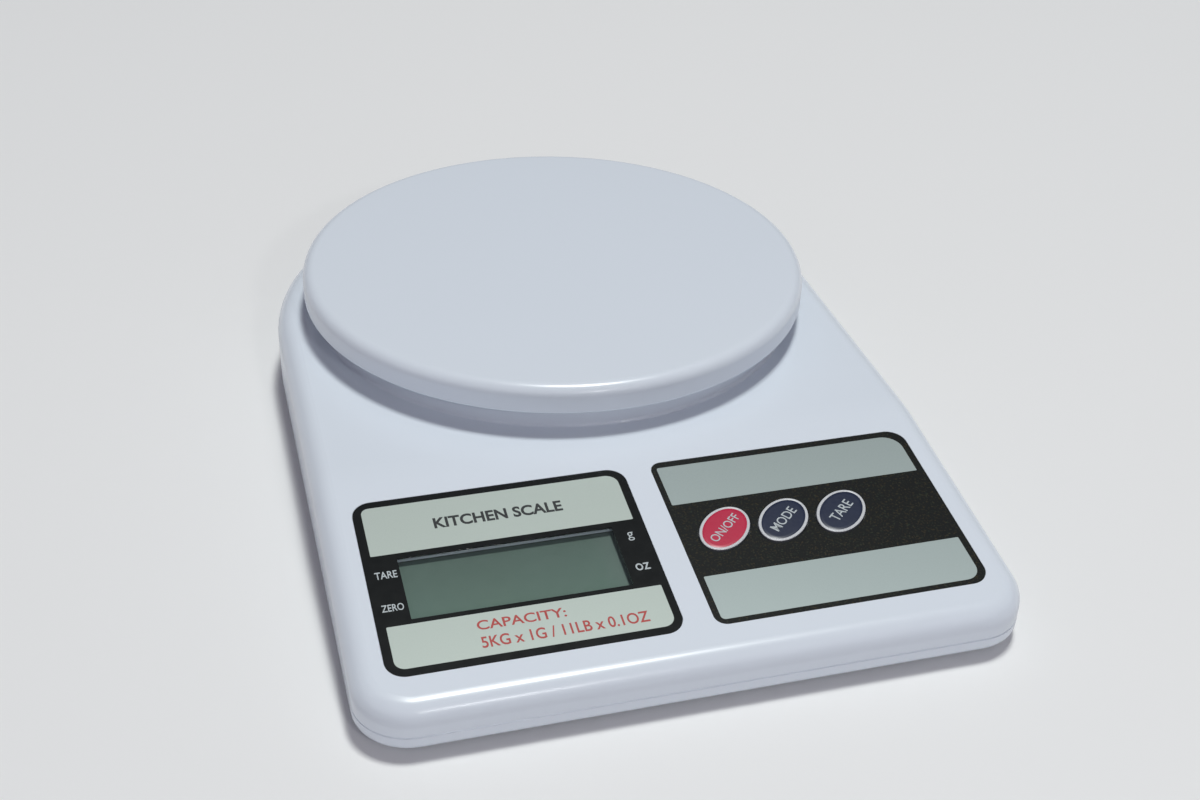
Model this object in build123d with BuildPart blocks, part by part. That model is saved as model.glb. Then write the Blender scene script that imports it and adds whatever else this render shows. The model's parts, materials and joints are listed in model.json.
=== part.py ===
from build123d import *
import math
import os

# Electronic kitchen scale: a white two-part case with a sloping front panel, a round lift-off
# platter on a single-point load cell, a display on the left, three oval keys on the right, and
# two AA cells under a hinged cover. Millimetres, +Z up, +Y to the back. The origin is on the
# surface the scale stands on, in the middle of its plan.

os.makedirs("parts", exist_ok=True)

# ---- Platter and case: driving sizes ----
platter_radius = 75.0
platter_plate = 2.2
platter_rim_wall = 2.2
platter_rim_depth = 8.05
platter_edge_round = 3.0
rim_foot_round = 0.7
platter_lift = 3.95
collar_clearance = 2.1
collar_height = 8.5
collar_wall = 2.0
collar_edge_round = 1.5
collar_foot_round = 0.8
case_margin = 8.5
crease_gap = 4.0
panel_run = 79.3
front_height = 11.6
case_wall = 2.2
floor_wall = 2.0
edge_round = 5.5
corner_round = 14.0
crease_round = 60.0
bottom_round = 2.0
parting_height = 4.0
parting_chamfer = 0.25
tongue_height = 2.0
tongue_wall = 1.2
tongue_gap = 0.15

# ---- Feet and case screws ----
foot_height = 2.2
foot_radius = 6.5
foot_socket = 1.0
foot_round = 0.8
socket_clearance = 0.1
front_foot_inset = 15.5
front_foot_setback = 22.9
rear_foot_angle = 40.0
rear_foot_inset = 15.4
screw_radius = 1.45
screw_head_radius = 2.9
screw_head_height = 1.8
screw_length = 6.3
screw_seat = 3.3
recess_length = 1.45
recess_width = 0.28
column_radius = 4.3
column_top = 5.8
boss_radius = 3.4
boss_gap = 0.1
thread_clearance = 0.05
shank_clearance = 0.35
head_clearance = 0.4
front_screw_inset = 9.5
front_screw_setback = 10.9
rear_screw_angle = 60.0
rear_screw_inset = 7.5

# ---- Battery compartment ----
cell_radius = 7.1
cell_body_length = 49.0
cell_nub_length = 1.5
cell_nub_radius = 2.7
cell_clearance = 0.5
cell_gap = 1.0
cell_side_clearance = 1.8
box_wall = 1.5
contact_plate = 0.4
contact_size = 12.0
contact_dimple = 0.8
contact_dimple_radius = 2.2
contact_tab_width = 4.0
contact_tab_thickness = 0.5
contact_tab_length = 4.5
spring_length = 6.9
spring_wire = 0.35
spring_big_radius = 4.4
spring_small_radius = 2.8
spring_pitch = 1.7
box_setback = 42.0
cover_thickness = 1.8
cover_gap = 0.3
cover_stop_gap = 0.1
cover_tab_width = 6.0
cover_tab_spacing = 36.0
cover_tab_reach = 0.8
cover_tab_thickness = 0.8
cover_latch_width = 10.0
grip_length = 14.0
cover_latch_height = 4.0
cover_latch_thickness = 1.2

# ---- Load cell and platform ----
load_cell_length = 75.0
load_cell_width = 12.7
load_cell_height = 12.7
load_cell_bore = 4.6
load_cell_bore_offset = 7.0
load_cell_slot = 3.6
load_cell_hole_edge = 5.0
load_cell_hole_pitch = 15.0
base_plate_thickness = 1.2
cell_end_length = 23.0
cell_screw_radius = 2.0
cell_screw_head_radius = 3.8
cell_screw_head_height = 2.2
base_screw_length = 11.0
top_screw_length = 10.0
spacer_height = 2.0
stop_gap = 0.8
stop_length = 8.0
coating_length = 22.0
coating_width = 11.0
coating_thickness = 0.9
support_gap = 2.8
support_thickness = 3.0
support_arm_width = 12.0
support_end_radius = 7.0
support_hub_radius = 13.0
support_rib_width = 1.6
support_rib_height = 2.0
support_bar_width = 14.0
head_gap = 1.1
post_circle = 46.0
post_radius = 4.0
post_clearance = 1.2
pad_thickness = 1.5
socket_clear_radius = 0.6
socket_wall = 1.3
socket_depth = 2.4
platter_rib_radius = 60.0
platter_rib_width = 1.2
platter_rib_depth = 1.5
platter_rib_count = 8

# ---- Front panel: printed films, display and keys ----
label_start = 10.8
label_end_margin = 10.7
display_label_width = 71.3
keypad_label_width = 71.8
label_gap = 7.2
label_round = 5.0
keypad_inner_round = 3.2
film_thickness = 0.45
film_sink = 0.05
film_gap = 0.1
window_width = 54.2
window_height = 20.3
window_drop = 1.9
window_lap = 1.4
window_thickness = 1.0
window_hidden_gap = 0.75
lcd_width = 60.0
lcd_height = 27.0
lcd_ledge = 2.5
lcd_rear_glass = 1.4
lcd_front_glass = 1.4
lcd_gap = 0.2
lcd_frame_wall = 1.8
lcd_frame_clearance = 0.2
zebra_height = 2.8
zebra_width = 2.2
zebra_length = 56.0
key_long_radius = 8.5
key_short_radius = 5.9
key_tilt = 46.0
key_first = 12.15
key_pitch = 15.8
key_rise = 1.75
key_gap = 0.3
key_proud = 0.5
key_edge_round = 0.35
key_flange = 0.9
key_flange_thickness = 0.8
key_flange_gap = 0.1
key_stem_radius = 1.6
switch_size = 6.0
switch_height = 3.5
plunger_radius = 1.75
plunger_clearance = 0.1
plunger_rise = 0.9
plunger_depth = 0.7
plunger_bore_depth = 1.3

# ---- Circuit board ----
board_thickness = 1.6
board_width = 136.0
board_shift = -4.5
board_start = 2.2
board_end_margin = 5.2
board_screw_edge = 5.0
board_screw_end = 3.2
board_screw_start = 6.0
board_screw_radius = 1.1
board_screw_head_radius = 2.2
board_screw_head_height = 1.5
board_screw_length = 5.8
board_boss_radius = 2.6
plug_depth = 5.5
plug_height = 4.0
plug_margin = 1.5
blob_radius = 6.0
blob_height = 1.2
blob_edge_round = 1.0
capacitor_radius = 2.5
capacitor_height = 4.8
crystal_radius = 1.5
crystal_length = 8.0

# ---- Wires ----
wire_radius = 0.45
wire_pitch = 1.2
wire_lift = 0.05
wire_side_run = 8.0
wire_bend_share = 0.45
wire_level_end = 29.0
wire_dip_start = 21.0
wire_dip = 3.4
wire_plug_approach = 12.0
battery_wire_turn_share = 0.55
battery_wire_rise = 1.0
battery_plug_reach = 12.0

# ---- Heights worked out from what the case holds ----
floor_top = foot_height + floor_wall
cell_centre_z = floor_top + cell_clearance + cell_radius
box_roof = cell_centre_z + cell_radius + cell_clearance
box_top = box_roof + box_wall
support_bottom = box_top + support_gap
load_cell_top = support_bottom - spacer_height
load_cell_bottom = load_cell_top - load_cell_height
post_top_of_floor = load_cell_bottom - base_plate_thickness
support_top = support_bottom + support_thickness
deck_bottom = support_top + cell_screw_head_height + head_gap
collar_top = deck_bottom + collar_wall
top_z = collar_top - collar_height
case_depth = top_z - foot_height
platter_under = collar_top + platter_lift
platter_top = platter_under + platter_plate
parting_z = foot_height + parting_height
column_z = foot_height + column_top
screw_seat_z = foot_height + screw_seat

# ---- Plan worked out from the platter ----
case_width = 2 * (platter_radius + case_margin)
crease_reach = platter_radius + crease_gap
front_reach = crease_reach + panel_run
platter_y = (front_reach - case_width / 2) / 2
front_y = platter_y - front_reach
crease_y = platter_y - crease_reach
collar_radius = platter_radius - platter_rim_wall - collar_clearance

# ---- Sloping panel: its own plane, +x to the right and +y up the slope from the crease ----
panel_drop = case_depth - front_height
slope = math.atan2(panel_drop, panel_run)
panel_length = panel_run / math.cos(slope)
panel = Plane(origin=(0, crease_y, top_z), x_dir=(1, 0, 0), z_dir=(0, -math.sin(slope), math.cos(slope)))
panel_axis = Axis(origin=(0, crease_y, top_z), direction=(0, -math.sin(slope), math.cos(slope)))
label_length = panel_length - label_start - label_end_margin
label_row = -(label_start + label_length / 2)
labels_left = -(display_label_width + label_gap + keypad_label_width) / 2
display_x = labels_left + display_label_width / 2
keypad_left = labels_left + display_label_width + label_gap
keypad_x = keypad_left + keypad_label_width / 2
window_row = label_row - window_drop
key_row = label_row + key_rise
key_points = [(keypad_left + key_first + number * key_pitch, key_row) for number in range(3)]
film_pocket = film_thickness + film_sink
lcd_depth = case_wall + lcd_gap
board_depth = lcd_depth + lcd_front_glass + lcd_rear_glass + zebra_height
board_under = board_depth + board_thickness
board_top_row = -(label_start + board_start)
board_bottom_row = -(label_start + label_length - board_end_margin)


def over_platter(height):
    """A level plane at this height with its origin on the platter's axis."""
    return Plane(origin=(0, platter_y, height), x_dir=(1, 0, 0), z_dir=(0, 0, 1))


def case_plan(inset):
    """The case's plan: straight front and sides, and a half circle about the platter's axis."""
    side = case_width / 2 - inset
    with BuildSketch() as plan:
        with Locations((0, (platter_y + front_y + inset) / 2)):
            Rectangle(2 * side, platter_y - front_y - inset)
        with Locations((0, platter_y)):
            Circle(side)
        fillet(plan.vertices().group_by(Axis.Y)[0], radius=corner_round - inset)
    return plan.sketch


def keypad_outline(inset):
    """The keypad film's outline, moved in by inset: its corners by the display are the sharper ones."""
    with BuildSketch() as outline:
        Rectangle(keypad_label_width - 2 * inset, label_length - 2 * inset)
        fillet(outline.vertices().group_by(Axis.X)[0], keypad_inner_round - inset)
        fillet(outline.vertices().group_by(Axis.X)[-1], label_round - inset)
    return outline.sketch


def case_block(inset):
    """The case above its parting plane as one block, or its hollow when moved in by inset."""
    reach = case_width
    block_top = top_z - inset
    crease = crease_y + inset * math.tan(slope / 2)
    run_out = crease_y - reach
    with BuildPart() as block:
        with BuildSketch(Plane.XY.offset(parting_z)):
            add(case_plan(inset))
        extrude(amount=block_top - parting_z)
        with BuildSketch(Plane.YZ) as side:
            with BuildLine():
                Polyline(
                    (reach, parting_z),
                    (reach, block_top),
                    (crease, block_top),
                    (run_out, block_top - (crease - run_out) * math.tan(slope)),
                    (run_out, parting_z - reach),
                    (reach, parting_z - reach),
                    close=True,
                )
            make_face()
            fillet(side.vertices().sort_by_distance((crease, block_top))[0], radius=crease_round - inset)
        extrude(amount=reach, both=True, mode=Mode.INTERSECT)
        rim = block.edges().filter_by(lambda edge: edge.center().Z > parting_z + parting_chamfer)
        rim = rim.filter_by(Axis.Z, reverse=True)
        rim = rim.filter_by(lambda edge: edge.length < case_width - 2 * inset - corner_round / 4
                            or edge.center().Y < front_y + corner_round)
        fillet(rim, radius=edge_round - inset)
    return block.part


def case_screw_points():
    """Plan places of the four case screws: two in the front corners, two behind the platter."""
    front = (case_width / 2 - front_screw_inset, front_y + front_screw_setback)
    radius = case_width / 2 - rear_screw_inset
    angle = math.radians(rear_screw_angle)
    rear = (radius * math.cos(angle), platter_y + radius * math.sin(angle))
    return [front, (-front[0], front[1]), rear, (-rear[0], rear[1])]


def board_screw_points():
    """Places of the six board screws on the panel's plane."""
    middle = board_shift
    side = board_width / 2 - board_screw_edge
    rows = (board_top_row - board_screw_start, board_bottom_row + board_screw_end)
    return [(middle + step * side, row) for row in rows for step in (-1, 0, 1)]


def load_cell_holes(side):
    """The two screw holes of one end of the load cell: -1 is the fixed end, +1 the free end."""
    outer = load_cell_length / 2 - load_cell_hole_edge
    return [(side * outer, 0), (side * (outer - load_cell_hole_pitch), 0)]


# ---- Top case: shell, collar and deck, film pockets, window, key holes and bosses ----
box_y = platter_y - box_setback
front_screws = case_screw_points()[:2]
rear_screws = case_screw_points()[2:]
front_boss_top = top_z - (crease_y - front_screws[0][1]) * math.tan(slope) - case_wall / 2

with BuildPart() as top_case:
    add(case_block(0))
    with BuildSketch(over_platter(top_z - case_wall)):
        Circle(collar_radius)
    extrude(amount=collar_height + case_wall)
    collar_edges = top_case.edges().filter_by(GeomType.CIRCLE)
    fillet(collar_edges.filter_by(lambda edge: edge.center().Z > collar_top - case_wall / 2), collar_edge_round)
    collar_edges = top_case.edges().filter_by(GeomType.CIRCLE)
    foot = collar_edges.filter_by(lambda edge: abs(edge.center().Z - top_z) < 0.01
                                  and abs(edge.radius - collar_radius) < 0.01)
    fillet(foot, collar_foot_round)
    parting_edges = top_case.faces().sort_by(Axis.Z)[0].outer_wire().edges()
    chamfer(parting_edges, parting_chamfer)
    add(case_block(case_wall), mode=Mode.SUBTRACT)
    with BuildSketch(over_platter(top_z - 2 * case_wall)):
        Circle(collar_radius - collar_wall)
    extrude(amount=deck_bottom - top_z + 2 * case_wall, mode=Mode.SUBTRACT)
    with BuildSketch(over_platter(deck_bottom)):
        with PolarLocations(post_circle, 4, start_angle=45):
            Circle(post_radius + post_clearance)
    extrude(amount=collar_wall, mode=Mode.SUBTRACT)
    with BuildSketch(Plane.XY.offset(column_z + boss_gap)):
        with Locations(*front_screws):
            Circle(boss_radius)
    extrude(amount=front_boss_top - column_z - boss_gap)
    with BuildSketch(Plane.XY.offset(column_z + boss_gap)):
        with Locations(*rear_screws):
            Circle(boss_radius)
    extrude(amount=top_z - case_wall / 2 - column_z - boss_gap)
    with BuildSketch(Plane.XY.offset(column_z)):
        with Locations(*case_screw_points()):
            Circle(screw_radius + thread_clearance)
    extrude(amount=screw_seat_z + screw_length - column_z + boss_gap, mode=Mode.SUBTRACT)
    with BuildSketch(panel.offset(-board_depth)):
        with Locations(*board_screw_points()):
            Circle(board_boss_radius)
    extrude(amount=board_depth - case_wall / 2)
    with BuildSketch(panel.offset(-board_depth)):
        with Locations(*board_screw_points()):
            Circle(board_screw_radius + thread_clearance)
    extrude(amount=board_screw_length - board_thickness + boss_gap, mode=Mode.SUBTRACT)
    with BuildSketch(panel):
        with Locations((display_x, label_row)):
            RectangleRounded(display_label_width, label_length, label_round)
        with Locations((keypad_x, label_row)):
            add(keypad_outline(0))
    extrude(amount=-film_pocket, mode=Mode.SUBTRACT)
    with BuildSketch(panel):
        with Locations((display_x, window_row)):
            Rectangle(window_width + 2 * window_lap, window_height + 2 * window_lap)
    extrude(amount=-film_pocket - window_thickness, mode=Mode.SUBTRACT)
    with BuildSketch(panel):
        with Locations((display_x, window_row)):
            Rectangle(window_width + 2 * window_hidden_gap, window_height + 2 * window_hidden_gap)
        with Locations(*key_points):
            Ellipse(key_long_radius + key_gap, key_short_radius + key_gap, rotation=key_tilt)
    extrude(amount=-2 * case_wall, mode=Mode.SUBTRACT)
top_case.part.label = "top_case"
export_step(top_case.part, "parts/top_case.step")


# ---- Bottom case: tray, tongue, battery box, load cell post, overload stop and screw columns ----
box_inside_length = 2 * contact_plate + contact_dimple + cell_body_length + cell_nub_length + spring_length
box_inside_width = 4 * cell_radius + cell_gap + 2 * cell_side_clearance
cell_spacing = 2 * cell_radius + cell_gap
cover_axis_y = box_y + box_inside_width / 2 - cover_gap - cover_thickness
cover_top = foot_height + cover_thickness
cover_latch_y = box_y - box_inside_width / 2 + cover_gap
fixed_end_x = -(load_cell_length - cell_end_length) / 2
free_end_x = -fixed_end_x


def foot_points():
    """Plan places of the four feet, front right first, counter-clockwise."""
    front = (case_width / 2 - front_foot_inset, front_y + front_foot_setback)
    radius = case_width / 2 - rear_foot_inset
    angle = math.radians(rear_foot_angle)
    rear = (radius * math.cos(angle), platter_y + radius * math.sin(angle))
    return [front, rear, (-rear[0], rear[1]), (-front[0], front[1])]


with BuildPart() as bottom_case:
    with BuildSketch(Plane.XY.offset(foot_height)):
        add(case_plan(0))
    extrude(amount=parting_height)
    fillet(bottom_case.faces().sort_by(Axis.Z)[0].outer_wire().edges(), bottom_round)
    chamfer(bottom_case.faces().sort_by(Axis.Z)[-1].outer_wire().edges(), parting_chamfer)
    with BuildSketch(Plane.XY.offset(floor_top)):
        add(case_plan(case_wall + tongue_gap))
    extrude(amount=parting_z + tongue_height - floor_top)
    with BuildSketch(Plane.XY.offset(floor_top)):
        add(case_plan(case_wall + tongue_gap + tongue_wall))
    extrude(amount=case_depth, mode=Mode.SUBTRACT)
    with BuildSketch(Plane.XY.offset(floor_top)):
        with Locations((0, box_y)):
            Rectangle(box_inside_length + 2 * box_wall, box_inside_width + 2 * box_wall)
    extrude(amount=box_top - floor_top)
    with BuildSketch(Plane.XY.offset(foot_height)):
        with Locations((0, box_y)):
            Rectangle(box_inside_length, box_inside_width)
    extrude(amount=box_roof - foot_height, mode=Mode.SUBTRACT)
    # Two windows in the box's rear wall let the cover's hinge tabs swing.
    with BuildSketch(Plane.XY.offset(floor_top)):
        with Locations((0, box_y + (box_inside_width + box_wall) / 2)):
            with GridLocations(cover_tab_spacing, 1, 2, 1):
                Rectangle(cover_tab_width + 2 * cover_gap, 3 * box_wall)
    extrude(amount=cover_thickness + cover_tab_reach, mode=Mode.SUBTRACT)
    # Two ledges in front stop the closed cover.
    with BuildSketch(Plane.XY.offset(cover_top + cover_stop_gap)):
        with Locations((0, box_y - box_inside_width / 2 + box_wall / 2)):
            with GridLocations(cover_tab_spacing, 1, 2, 1):
                Rectangle(cover_tab_width, box_wall)
    extrude(amount=box_wall)
    # A slot for each terminal's tab in the box's right end.
    with BuildSketch(Plane.YZ.offset(box_inside_length / 2 - box_wall)):
        with Locations((box_y, cell_centre_z)):
            with GridLocations(cell_spacing, 1, 2, 1):
                Rectangle(contact_tab_width + 2 * cover_gap, contact_tab_thickness + 2 * cover_gap)
    extrude(amount=3 * box_wall, mode=Mode.SUBTRACT)
    with BuildSketch(over_platter(floor_top)):
        with Locations((fixed_end_x, 0)):
            Rectangle(cell_end_length, load_cell_width)
    extrude(amount=post_top_of_floor - floor_top)
    with BuildSketch(over_platter(floor_top)):
        with Locations((load_cell_length / 2 - stop_length / 2, 0)):
            Rectangle(stop_length, load_cell_width)
    extrude(amount=load_cell_bottom - stop_gap - floor_top)
    with BuildSketch(over_platter(foot_height)):
        with Locations(*load_cell_holes(-1)):
            Circle(cell_screw_head_radius + head_clearance)
    extrude(amount=floor_wall + cell_screw_head_height / 2, mode=Mode.SUBTRACT)
    with BuildSketch(over_platter(foot_height)):
        with Locations(*load_cell_holes(-1)):
            Circle(cell_screw_radius + shank_clearance)
    extrude(amount=case_depth, mode=Mode.SUBTRACT)
    with BuildSketch(Plane.XY.offset(floor_top)):
        with Locations(*case_screw_points()):
            Circle(column_radius)
    extrude(amount=column_z - floor_top)
    with BuildSketch(Plane.XY.offset(foot_height)):
        with Locations(*case_screw_points()):
            Circle(screw_head_radius + head_clearance)
    extrude(amount=screw_seat, mode=Mode.SUBTRACT)
    with BuildSketch(Plane.XY.offset(foot_height)):
        with Locations(*case_screw_points()):
            Circle(screw_radius + shank_clearance)
    extrude(amount=case_depth, mode=Mode.SUBTRACT)
    with BuildSketch(Plane.XY.offset(foot_height)):
        with Locations(*foot_points()):
            Circle(foot_radius + socket_clearance)
    extrude(amount=foot_socket, mode=Mode.SUBTRACT)
bottom_case.part.label = "bottom_case"
export_step(bottom_case.part, "parts/bottom_case.step")


# ---- Rubber feet ----
def foot(place):
    """One round rubber foot, pressed into its socket under the case."""
    with BuildPart() as pad:
        with BuildSketch():
            with Locations(place):
                Circle(foot_radius)
        extrude(amount=foot_height + foot_socket)
        fillet(pad.edges().group_by(Axis.Z)[0], foot_round)
    return pad.part


for foot_name, foot_place in zip(
    ("foot_front_right", "foot_rear_right", "foot_rear_left", "foot_front_left"), foot_points()
):
    foot_part = foot(foot_place)
    foot_part.label = foot_name
    export_step(foot_part, f"parts/{foot_name}.step")


# ---- Case screws: four cross-head self-tapping screws, heads down ----
with BuildPart() as case_screws:
    with BuildSketch(Plane.XY.offset(screw_seat_z - screw_head_height)):
        with Locations(*case_screw_points()):
            Circle(screw_head_radius)
    extrude(amount=screw_head_height)
    with BuildSketch(Plane.XY.offset(screw_seat_z)):
        with Locations(*case_screw_points()):
            Circle(screw_radius)
    extrude(amount=screw_length)
    with BuildSketch(Plane.XY.offset(screw_seat_z - screw_head_height)):
        with Locations(*case_screw_points()):
            Rectangle(recess_length * screw_head_radius, recess_width * screw_head_radius)
            Rectangle(recess_width * screw_head_radius, recess_length * screw_head_radius)
    extrude(amount=screw_head_height / 2, mode=Mode.SUBTRACT)
case_screws.part.label = "case_screws"
export_step(case_screws.part, "parts/case_screws.step")


# ---- Load cell: an aluminium bar with a dumbbell-shaped opening through its middle ----
with BuildPart() as load_cell:
    with BuildSketch(over_platter(load_cell_bottom)):
        Rectangle(load_cell_length, load_cell_width)
    extrude(amount=load_cell_height)
    with BuildSketch(Plane.XZ.offset(-platter_y)):
        with Locations((0, (load_cell_bottom + load_cell_top) / 2)):
            Rectangle(2 * load_cell_bore_offset, load_cell_slot)
            with GridLocations(2 * load_cell_bore_offset, 1, 2, 1):
                Circle(load_cell_bore)
    extrude(amount=load_cell_width, both=True, mode=Mode.SUBTRACT)
    with BuildSketch(over_platter(load_cell_bottom)):
        with Locations(*load_cell_holes(-1), *load_cell_holes(1)):
            Circle(cell_screw_radius + thread_clearance)
    extrude(amount=load_cell_height, mode=Mode.SUBTRACT)
load_cell.part.label = "load_cell"
export_step(load_cell.part, "parts/load_cell.step")

with BuildPart() as gauge_coating:
    with BuildSketch(over_platter(load_cell_top)):
        Rectangle(coating_length, coating_width)
    extrude(amount=coating_thickness)
    with BuildSketch(over_platter(load_cell_bottom)):
        Rectangle(coating_length, coating_width)
    extrude(amount=-coating_thickness)
    fillet(gauge_coating.edges().filter_by(Axis.Z), coating_thickness)
gauge_coating.part.label = "gauge_coating"
export_step(gauge_coating.part, "parts/gauge_coating.step")

with BuildPart() as load_cell_base_plate:
    with BuildSketch(over_platter(post_top_of_floor)):
        with Locations((fixed_end_x, 0)):
            Rectangle(cell_end_length, load_cell_width)
        with Locations(*load_cell_holes(-1)):
            Circle(cell_screw_radius + shank_clearance, mode=Mode.SUBTRACT)
    extrude(amount=base_plate_thickness)
load_cell_base_plate.part.label = "load_cell_base_plate"
export_step(load_cell_base_plate.part, "parts/load_cell_base_plate.step")

base_screw_seat = floor_top + cell_screw_head_height / 2
with BuildPart() as load_cell_base_screws:
    with BuildSketch(over_platter(base_screw_seat - cell_screw_head_height)):
        with Locations(*load_cell_holes(-1)):
            Circle(cell_screw_head_radius)
    extrude(amount=cell_screw_head_height)
    with BuildSketch(over_platter(base_screw_seat)):
        with Locations(*load_cell_holes(-1)):
            Circle(cell_screw_radius)
    extrude(amount=base_screw_length)
    with BuildSketch(over_platter(base_screw_seat - cell_screw_head_height)):
        with Locations(*load_cell_holes(-1)):
            Rectangle(recess_length * cell_screw_head_radius, recess_width * cell_screw_head_radius)
            Rectangle(recess_width * cell_screw_head_radius, recess_length * cell_screw_head_radius)
    extrude(amount=cell_screw_head_height / 2, mode=Mode.SUBTRACT)
load_cell_base_screws.part.label = "load_cell_base_screws"
export_step(load_cell_base_screws.part, "parts/load_cell_base_screws.step")

with BuildPart() as load_cell_spacer:
    with BuildSketch(over_platter(load_cell_top)):
        with Locations((free_end_x, 0)):
            Rectangle(cell_end_length, load_cell_width)
        with Locations(*load_cell_holes(1)):
            Circle(cell_screw_radius + shank_clearance, mode=Mode.SUBTRACT)
    extrude(amount=spacer_height)
load_cell_spacer.part.label = "load_cell_spacer"
export_step(load_cell_spacer.part, "parts/load_cell_spacer.step")

with BuildPart() as load_cell_top_screws:
    with BuildSketch(over_platter(support_top)):
        with Locations(*load_cell_holes(1)):
            Circle(cell_screw_head_radius)
    extrude(amount=cell_screw_head_height)
    with BuildSketch(over_platter(support_top)):
        with Locations(*load_cell_holes(1)):
            Circle(cell_screw_radius)
    extrude(amount=-top_screw_length)
    with BuildSketch(over_platter(support_top + cell_screw_head_height)):
        with Locations(*load_cell_holes(1)):
            Rectangle(recess_length * cell_screw_head_radius, recess_width * cell_screw_head_radius)
            Rectangle(recess_width * cell_screw_head_radius, recess_length * cell_screw_head_radius)
    extrude(amount=-cell_screw_head_height / 2, mode=Mode.SUBTRACT)
load_cell_top_screws.part.label = "load_cell_top_screws"
export_step(load_cell_top_screws.part, "parts/load_cell_top_screws.step")


# ---- Platform support: a ribbed cross with four posts that come up through the deck ----
post_top = platter_under - pad_thickness
support_bar_length = load_cell_length / 2 + 1.0

with BuildPart() as platform_support:
    with BuildSketch(over_platter(support_bottom)):
        Circle(support_hub_radius)
        with PolarLocations(post_circle / 2, 4, start_angle=45):
            Rectangle(post_circle, support_arm_width)
        with PolarLocations(post_circle, 4, start_angle=45):
            Circle(support_end_radius)
        with Locations((support_bar_length / 2, 0)):
            Rectangle(support_bar_length, support_bar_width)
    extrude(amount=support_thickness)
    with BuildSketch(over_platter(support_top)):
        with PolarLocations((post_circle + support_hub_radius) / 2, 4, start_angle=45):
            Rectangle(post_circle - support_hub_radius, support_rib_width)
    extrude(amount=support_rib_height)
    with BuildSketch(over_platter(support_top)):
        with PolarLocations(post_circle, 4, start_angle=45):
            Circle(post_radius)
    extrude(amount=post_top - support_top)
    with BuildSketch(over_platter(support_bottom)):
        with Locations(*load_cell_holes(1)):
            Circle(cell_screw_radius + shank_clearance)
    extrude(amount=support_thickness, mode=Mode.SUBTRACT)
platform_support.part.label = "platform_support"
export_step(platform_support.part, "parts/platform_support.step")

with BuildPart() as support_pads:
    with BuildSketch(over_platter(post_top)):
        with PolarLocations(post_circle, 4, start_angle=45):
            Circle(post_radius)
    extrude(amount=pad_thickness)
support_pads.part.label = "support_pads"
export_step(support_pads.part, "parts/support_pads.step")


# ---- Platter: a round inverted dish with sockets and ribs underneath ----
rim_bottom = platter_top - platter_rim_depth
platter_inside = platter_radius - platter_rim_wall
socket_inside = post_radius + socket_clear_radius

with BuildPart() as platter:
    with BuildSketch(over_platter(rim_bottom)):
        Circle(platter_radius)
    extrude(amount=platter_rim_depth)
    fillet(platter.edges().group_by(Axis.Z)[-1], platter_edge_round)
    fillet(platter.edges().group_by(Axis.Z)[0], rim_foot_round)
    with BuildSketch(over_platter(rim_bottom)):
        Circle(platter_inside)
    extrude(amount=platter_under - rim_bottom, mode=Mode.SUBTRACT)
    with BuildSketch(over_platter(platter_under)):
        with PolarLocations(post_circle, 4, start_angle=45):
            Circle(socket_inside + socket_wall)
    extrude(amount=-socket_depth)
    with BuildSketch(over_platter(platter_under)):
        Circle(platter_rib_radius)
        Circle(platter_rib_radius - platter_rib_width, mode=Mode.SUBTRACT)
        with PolarLocations(platter_rib_radius / 2, platter_rib_count):
            Rectangle(platter_rib_radius, platter_rib_width)
    extrude(amount=-platter_rib_depth)
    with BuildSketch(over_platter(platter_under)):
        with PolarLocations(post_circle, 4, start_angle=45):
            Circle(socket_inside)
    extrude(amount=-socket_depth, mode=Mode.SUBTRACT)
platter.part.label = "platter"
export_step(platter.part, "parts/platter.step")


# ---- Printed films and the clear display window ----
with BuildPart() as display_overlay:
    with BuildSketch(panel.offset(-film_pocket)):
        with Locations((display_x, label_row)):
            RectangleRounded(display_label_width - 2 * film_gap, label_length - 2 * film_gap, label_round - film_gap)
        with Locations((display_x, window_row)):
            Rectangle(window_width, window_height, mode=Mode.SUBTRACT)
    extrude(amount=film_thickness)
display_overlay.part.label = "display_overlay"
export_step(display_overlay.part, "parts/display_overlay.step")

with BuildPart() as keypad_overlay:
    with BuildSketch(panel.offset(-film_pocket)):
        with Locations((keypad_x, label_row)):
            add(keypad_outline(film_gap))
        with Locations(*key_points):
            Ellipse(
                key_long_radius + key_gap, key_short_radius + key_gap, rotation=key_tilt, mode=Mode.SUBTRACT
            )
    extrude(amount=film_thickness)
keypad_overlay.part.label = "keypad_overlay"
export_step(keypad_overlay.part, "parts/keypad_overlay.step")

with BuildPart() as display_window:
    with BuildSketch(panel.offset(-film_pocket)):
        with Locations((display_x, window_row)):
            Rectangle(window_width + 2 * (window_lap - film_gap), window_height + 2 * (window_lap - film_gap))
    extrude(amount=-window_thickness)
display_window.part.label = "display_window"
export_step(display_window.part, "parts/display_window.step")


# ---- Liquid crystal display, its frame and its rubber connector ----
with BuildPart() as lcd_glass:
    with BuildSketch(panel.offset(-lcd_depth - lcd_front_glass)):
        with Locations((display_x, window_row)):
            Rectangle(lcd_width, lcd_height - 2 * lcd_ledge)
    extrude(amount=lcd_front_glass)
    with BuildSketch(panel.offset(-lcd_depth - lcd_front_glass - lcd_rear_glass)):
        with Locations((display_x, window_row)):
            Rectangle(lcd_width, lcd_height)
    extrude(amount=lcd_rear_glass)
lcd_glass.part.label = "lcd_glass"
export_step(lcd_glass.part, "parts/lcd_glass.step")

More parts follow.
